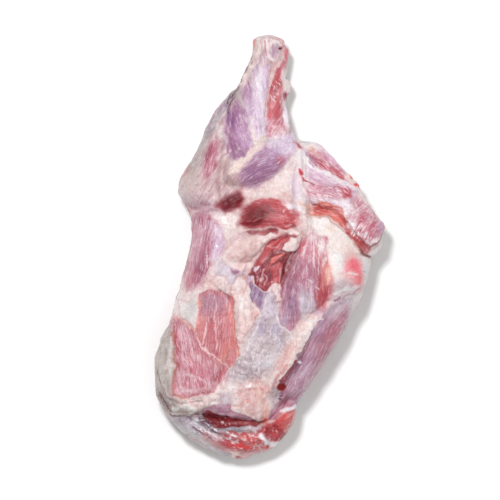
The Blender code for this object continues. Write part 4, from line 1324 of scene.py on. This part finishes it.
def stretched(tree, place, factors):
    made = node(tree, "ShaderNodeVectorMath", operation="MULTIPLY")
    tree.links.new(place, made.inputs[0])
    made.inputs[1].default_value = factors
    return made.outputs["Vector"]


def tinted(tree, colour, brightness):
    made = node(tree, "ShaderNodeVectorMath", operation="SCALE")
    tree.links.new(colour, made.inputs["Vector"])
    tree.links.new(brightness, made.inputs["Scale"])
    return made.outputs["Vector"]


def shown(sockets, name):
    """The socket of that name which the node's settings have switched on."""
    return next(socket for socket in sockets if socket.name == name and socket.enabled)


def mixed(tree, share, first, second):
    """The first colour, with a share of the second, fixed one laid over it."""
    made = node(tree, "ShaderNodeMix", data_type="RGBA")
    tree.links.new(share, shown(made.inputs, "Factor"))
    tree.links.new(first, shown(made.inputs, "A"))
    shown(made.inputs, "B").default_value = (*second, 1.0)
    return shown(made.outputs, "Result")


def bump(tree, height, strength, distance=None, over=None):
    """The normals of an uneven skin, over another's where that is given."""
    made = node(tree, "ShaderNodeBump")
    made.inputs["Strength"].default_value = strength
    if distance is not None:
        made.inputs["Distance"].default_value = distance
    if over is not None:
        tree.links.new(over, made.inputs["Normal"])
    tree.links.new(height, made.inputs["Height"])
    return made.outputs["Normal"]


def meat_colour(tree, shader, place, fibre, fibrous):
    """The painted colour in lighter and darker fibres and grains, with white fibres over it."""
    grain = ranged(tree, noise(tree, place, GRAIN_SCALE), NOISE_SPAN, GRAIN_SHADES)
    shades = maths(tree, "ADD", ranged(tree, fibrous, (-0.2, 0.2), FIBRE_SHADES), grain)
    meat = tinted(tree, attribute(tree, "flesh", "Color"), shades)
    drawn = noise(tree, stretched(tree, fibre, DRAWN_OUT), 1.0)
    white = maths(tree, "MULTIPLY", ranged(tree, drawn, WHITE_SPAN, (0.0, 1.0)), attribute(tree, "web"))
    tree.links.new(mixed(tree, white, meat, linear(tone(THREAD))), shader.inputs["Base Color"])


def meat_sheen(tree, shader, pores):
    """Unevenly rough flesh, with a coat of juice where it's painted wet."""
    wet = attribute(tree, "wet")
    uneven = ranged(tree, pores, NOISE_SPAN, PORE_ROUGHNESS)
    rough = maths(tree, "ADD", ranged(tree, wet, (0.0, 1.0), ROUGHNESS_DRY_TO_WET), uneven)
    tree.links.new(rough, shader.inputs["Roughness"])
    tree.links.new(ranged(tree, wet, (0.15, 0.75), (0.05, 1.0)), shader.inputs["Coat Weight"])
    shader.inputs["Coat Roughness"].default_value = 0.07
    shader.inputs["Specular IOR Level"].default_value = 0.25
    shader.inputs["Subsurface Weight"].default_value = 0.10
    shader.inputs["Subsurface Radius"].default_value = (1.0, 0.4, 0.3)
    shader.inputs["Subsurface Scale"].default_value = 0.002


def raw_meat():
    """Flesh: the painted colour with fine fibres and grain in it, and a wet, uneven sheen."""
    material = bpy.data.materials.new("raw_meat")
    material.use_nodes = True
    tree = material.node_tree
    shader = tree.nodes["Principled BSDF"]
    place = object_place(tree)
    fibre = attribute(tree, "fibre", "Vector")
    strands = maths(tree, "SUBTRACT", noise(tree, fibre, STRAND_SCALE, 4.0), 0.5)
    share = ranged(tree, attribute(tree, "web"), (0.0, 0.4), (0.25, 1.0))
    fibrous = maths(tree, "MULTIPLY", strands, share)
    pores = noise(tree, place, PORE_SCALE, 4.0)
    meat_colour(tree, shader, place, fibre, fibrous)
    meat_sheen(tree, shader, pores)

    uneven = maths(tree, "ADD", maths(tree, "MULTIPLY", fibrous, 0.8), maths(tree, "MULTIPLY", pores, 0.9))
    flesh = bump(tree, uneven, 0.55, 1.0 * MM)
    film = bump(tree, noise(tree, place, FILM_SCALE, 2.0), 0.8, 1.2 * MM, over=flesh)
    tree.links.new(flesh, shader.inputs["Normal"])
    tree.links.new(film, shader.inputs["Coat Normal"])
    return material


def floor_material():
    material = bpy.data.materials.new("studio_floor")
    material.use_nodes = True
    tree = material.node_tree
    shader = tree.nodes["Principled BSDF"]
    place = object_place(tree)
    rough = ranged(tree, noise(tree, place, 30.0), NOISE_SPAN, (0.72, 0.78))
    tree.links.new(rough, shader.inputs["Roughness"])
    tree.links.new(bump(tree, noise(tree, place, 200.0), 0.02), shader.inputs["Normal"])
    shader.inputs["Base Color"].default_value = (0.96, 0.96, 0.96, 1.0)
    return material


# ---------------------------------------------------------------- studio

PHOTO_MIDDLE = (-16.0, -2.4)  # where the view's middle is on the plan
PHOTO_WIDTH = 400.0  # what the view takes in at the height below
PHOTO_HEIGHT = 25.0  # how high the shoulder is at its widest
SENSOR = 36.0
CAMERA_HEIGHT = 3.0  # in metres, as are the floor and the lights
FLOOR_HALF = 3.0


def studio_floor():
    bm = bmesh.new()
    corners = [(-1, -1), (1, -1), (1, 1), (-1, 1)]
    bm.faces.new([bm.verts.new((x * FLOOR_HALF, y * FLOOR_HALF, 0)) for x, y in corners])
    mesh = bpy.data.meshes.new("studio_floor")
    bm.to_mesh(mesh)
    bm.free()
    mesh.materials.append(floor_material())
    floor = bpy.data.objects.new("studio_floor", mesh)
    bpy.context.scene.collection.objects.link(floor)
    return floor


def soft_light(name, place, size, power):
    """A round lamp turned towards the meat."""
    lamp = bpy.data.lights.new(name, "AREA")
    lamp.shape = "DISK"
    lamp.size = size
    lamp.energy = power
    obj = bpy.data.objects.new(name, lamp)
    obj.location = place
    obj.rotation_mode = "QUATERNION"
    obj.rotation_quaternion = (Vector((0, 0, 0.03)) - Vector(place)).to_track_quat("-Z", "Y")
    bpy.context.scene.collection.objects.link(obj)


def studio_lights():
    soft_light("key", place=(-0.26, 0.46, 1.45), size=0.26, power=16.5)
    soft_light("fill", place=(0.8, -0.2, 1.4), size=2.4, power=8)
    world = bpy.data.worlds.new("studio")
    world.use_nodes = True
    background = world.node_tree.nodes["Background"]
    background.inputs["Color"].default_value = (1, 1, 1, 1)
    background.inputs["Strength"].default_value = 0.36
    bpy.context.scene.world = world
    bpy.context.scene.view_settings.view_transform = "Standard"


def plan_middle():
    """Where the solid's origin lies on the plan: the middle of the outline."""
    left, right = (np.array(edge)[:, 1] for edge in (LEFT_EDGE, RIGHT_EDGE))
    return (left.min() + right.max()) / 2, (LEFT_EDGE[0][0] + LEFT_EDGE[-1][0]) / 2


def camera():
    lens = bpy.data.cameras.new("camera")
    lens.sensor_width = SENSOR
    lens.lens = SENSOR * CAMERA_HEIGHT / (PHOTO_WIDTH * MM)
    origin_x, origin_y = plan_middle()
    x, y = (PHOTO_MIDDLE[0] - origin_x) * MM, (PHOTO_MIDDLE[1] - origin_y) * MM
    obj = bpy.data.objects.new("camera", lens)
    obj.location = (x, y, CAMERA_HEIGHT + PHOTO_HEIGHT * MM)
    bpy.context.scene.collection.objects.link(obj)
    bpy.context.scene.camera = obj


meat = lamb_shoulder()
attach(meat, "root")
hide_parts("lamb_shoulder")
studio_floor()
studio_lights()
camera()
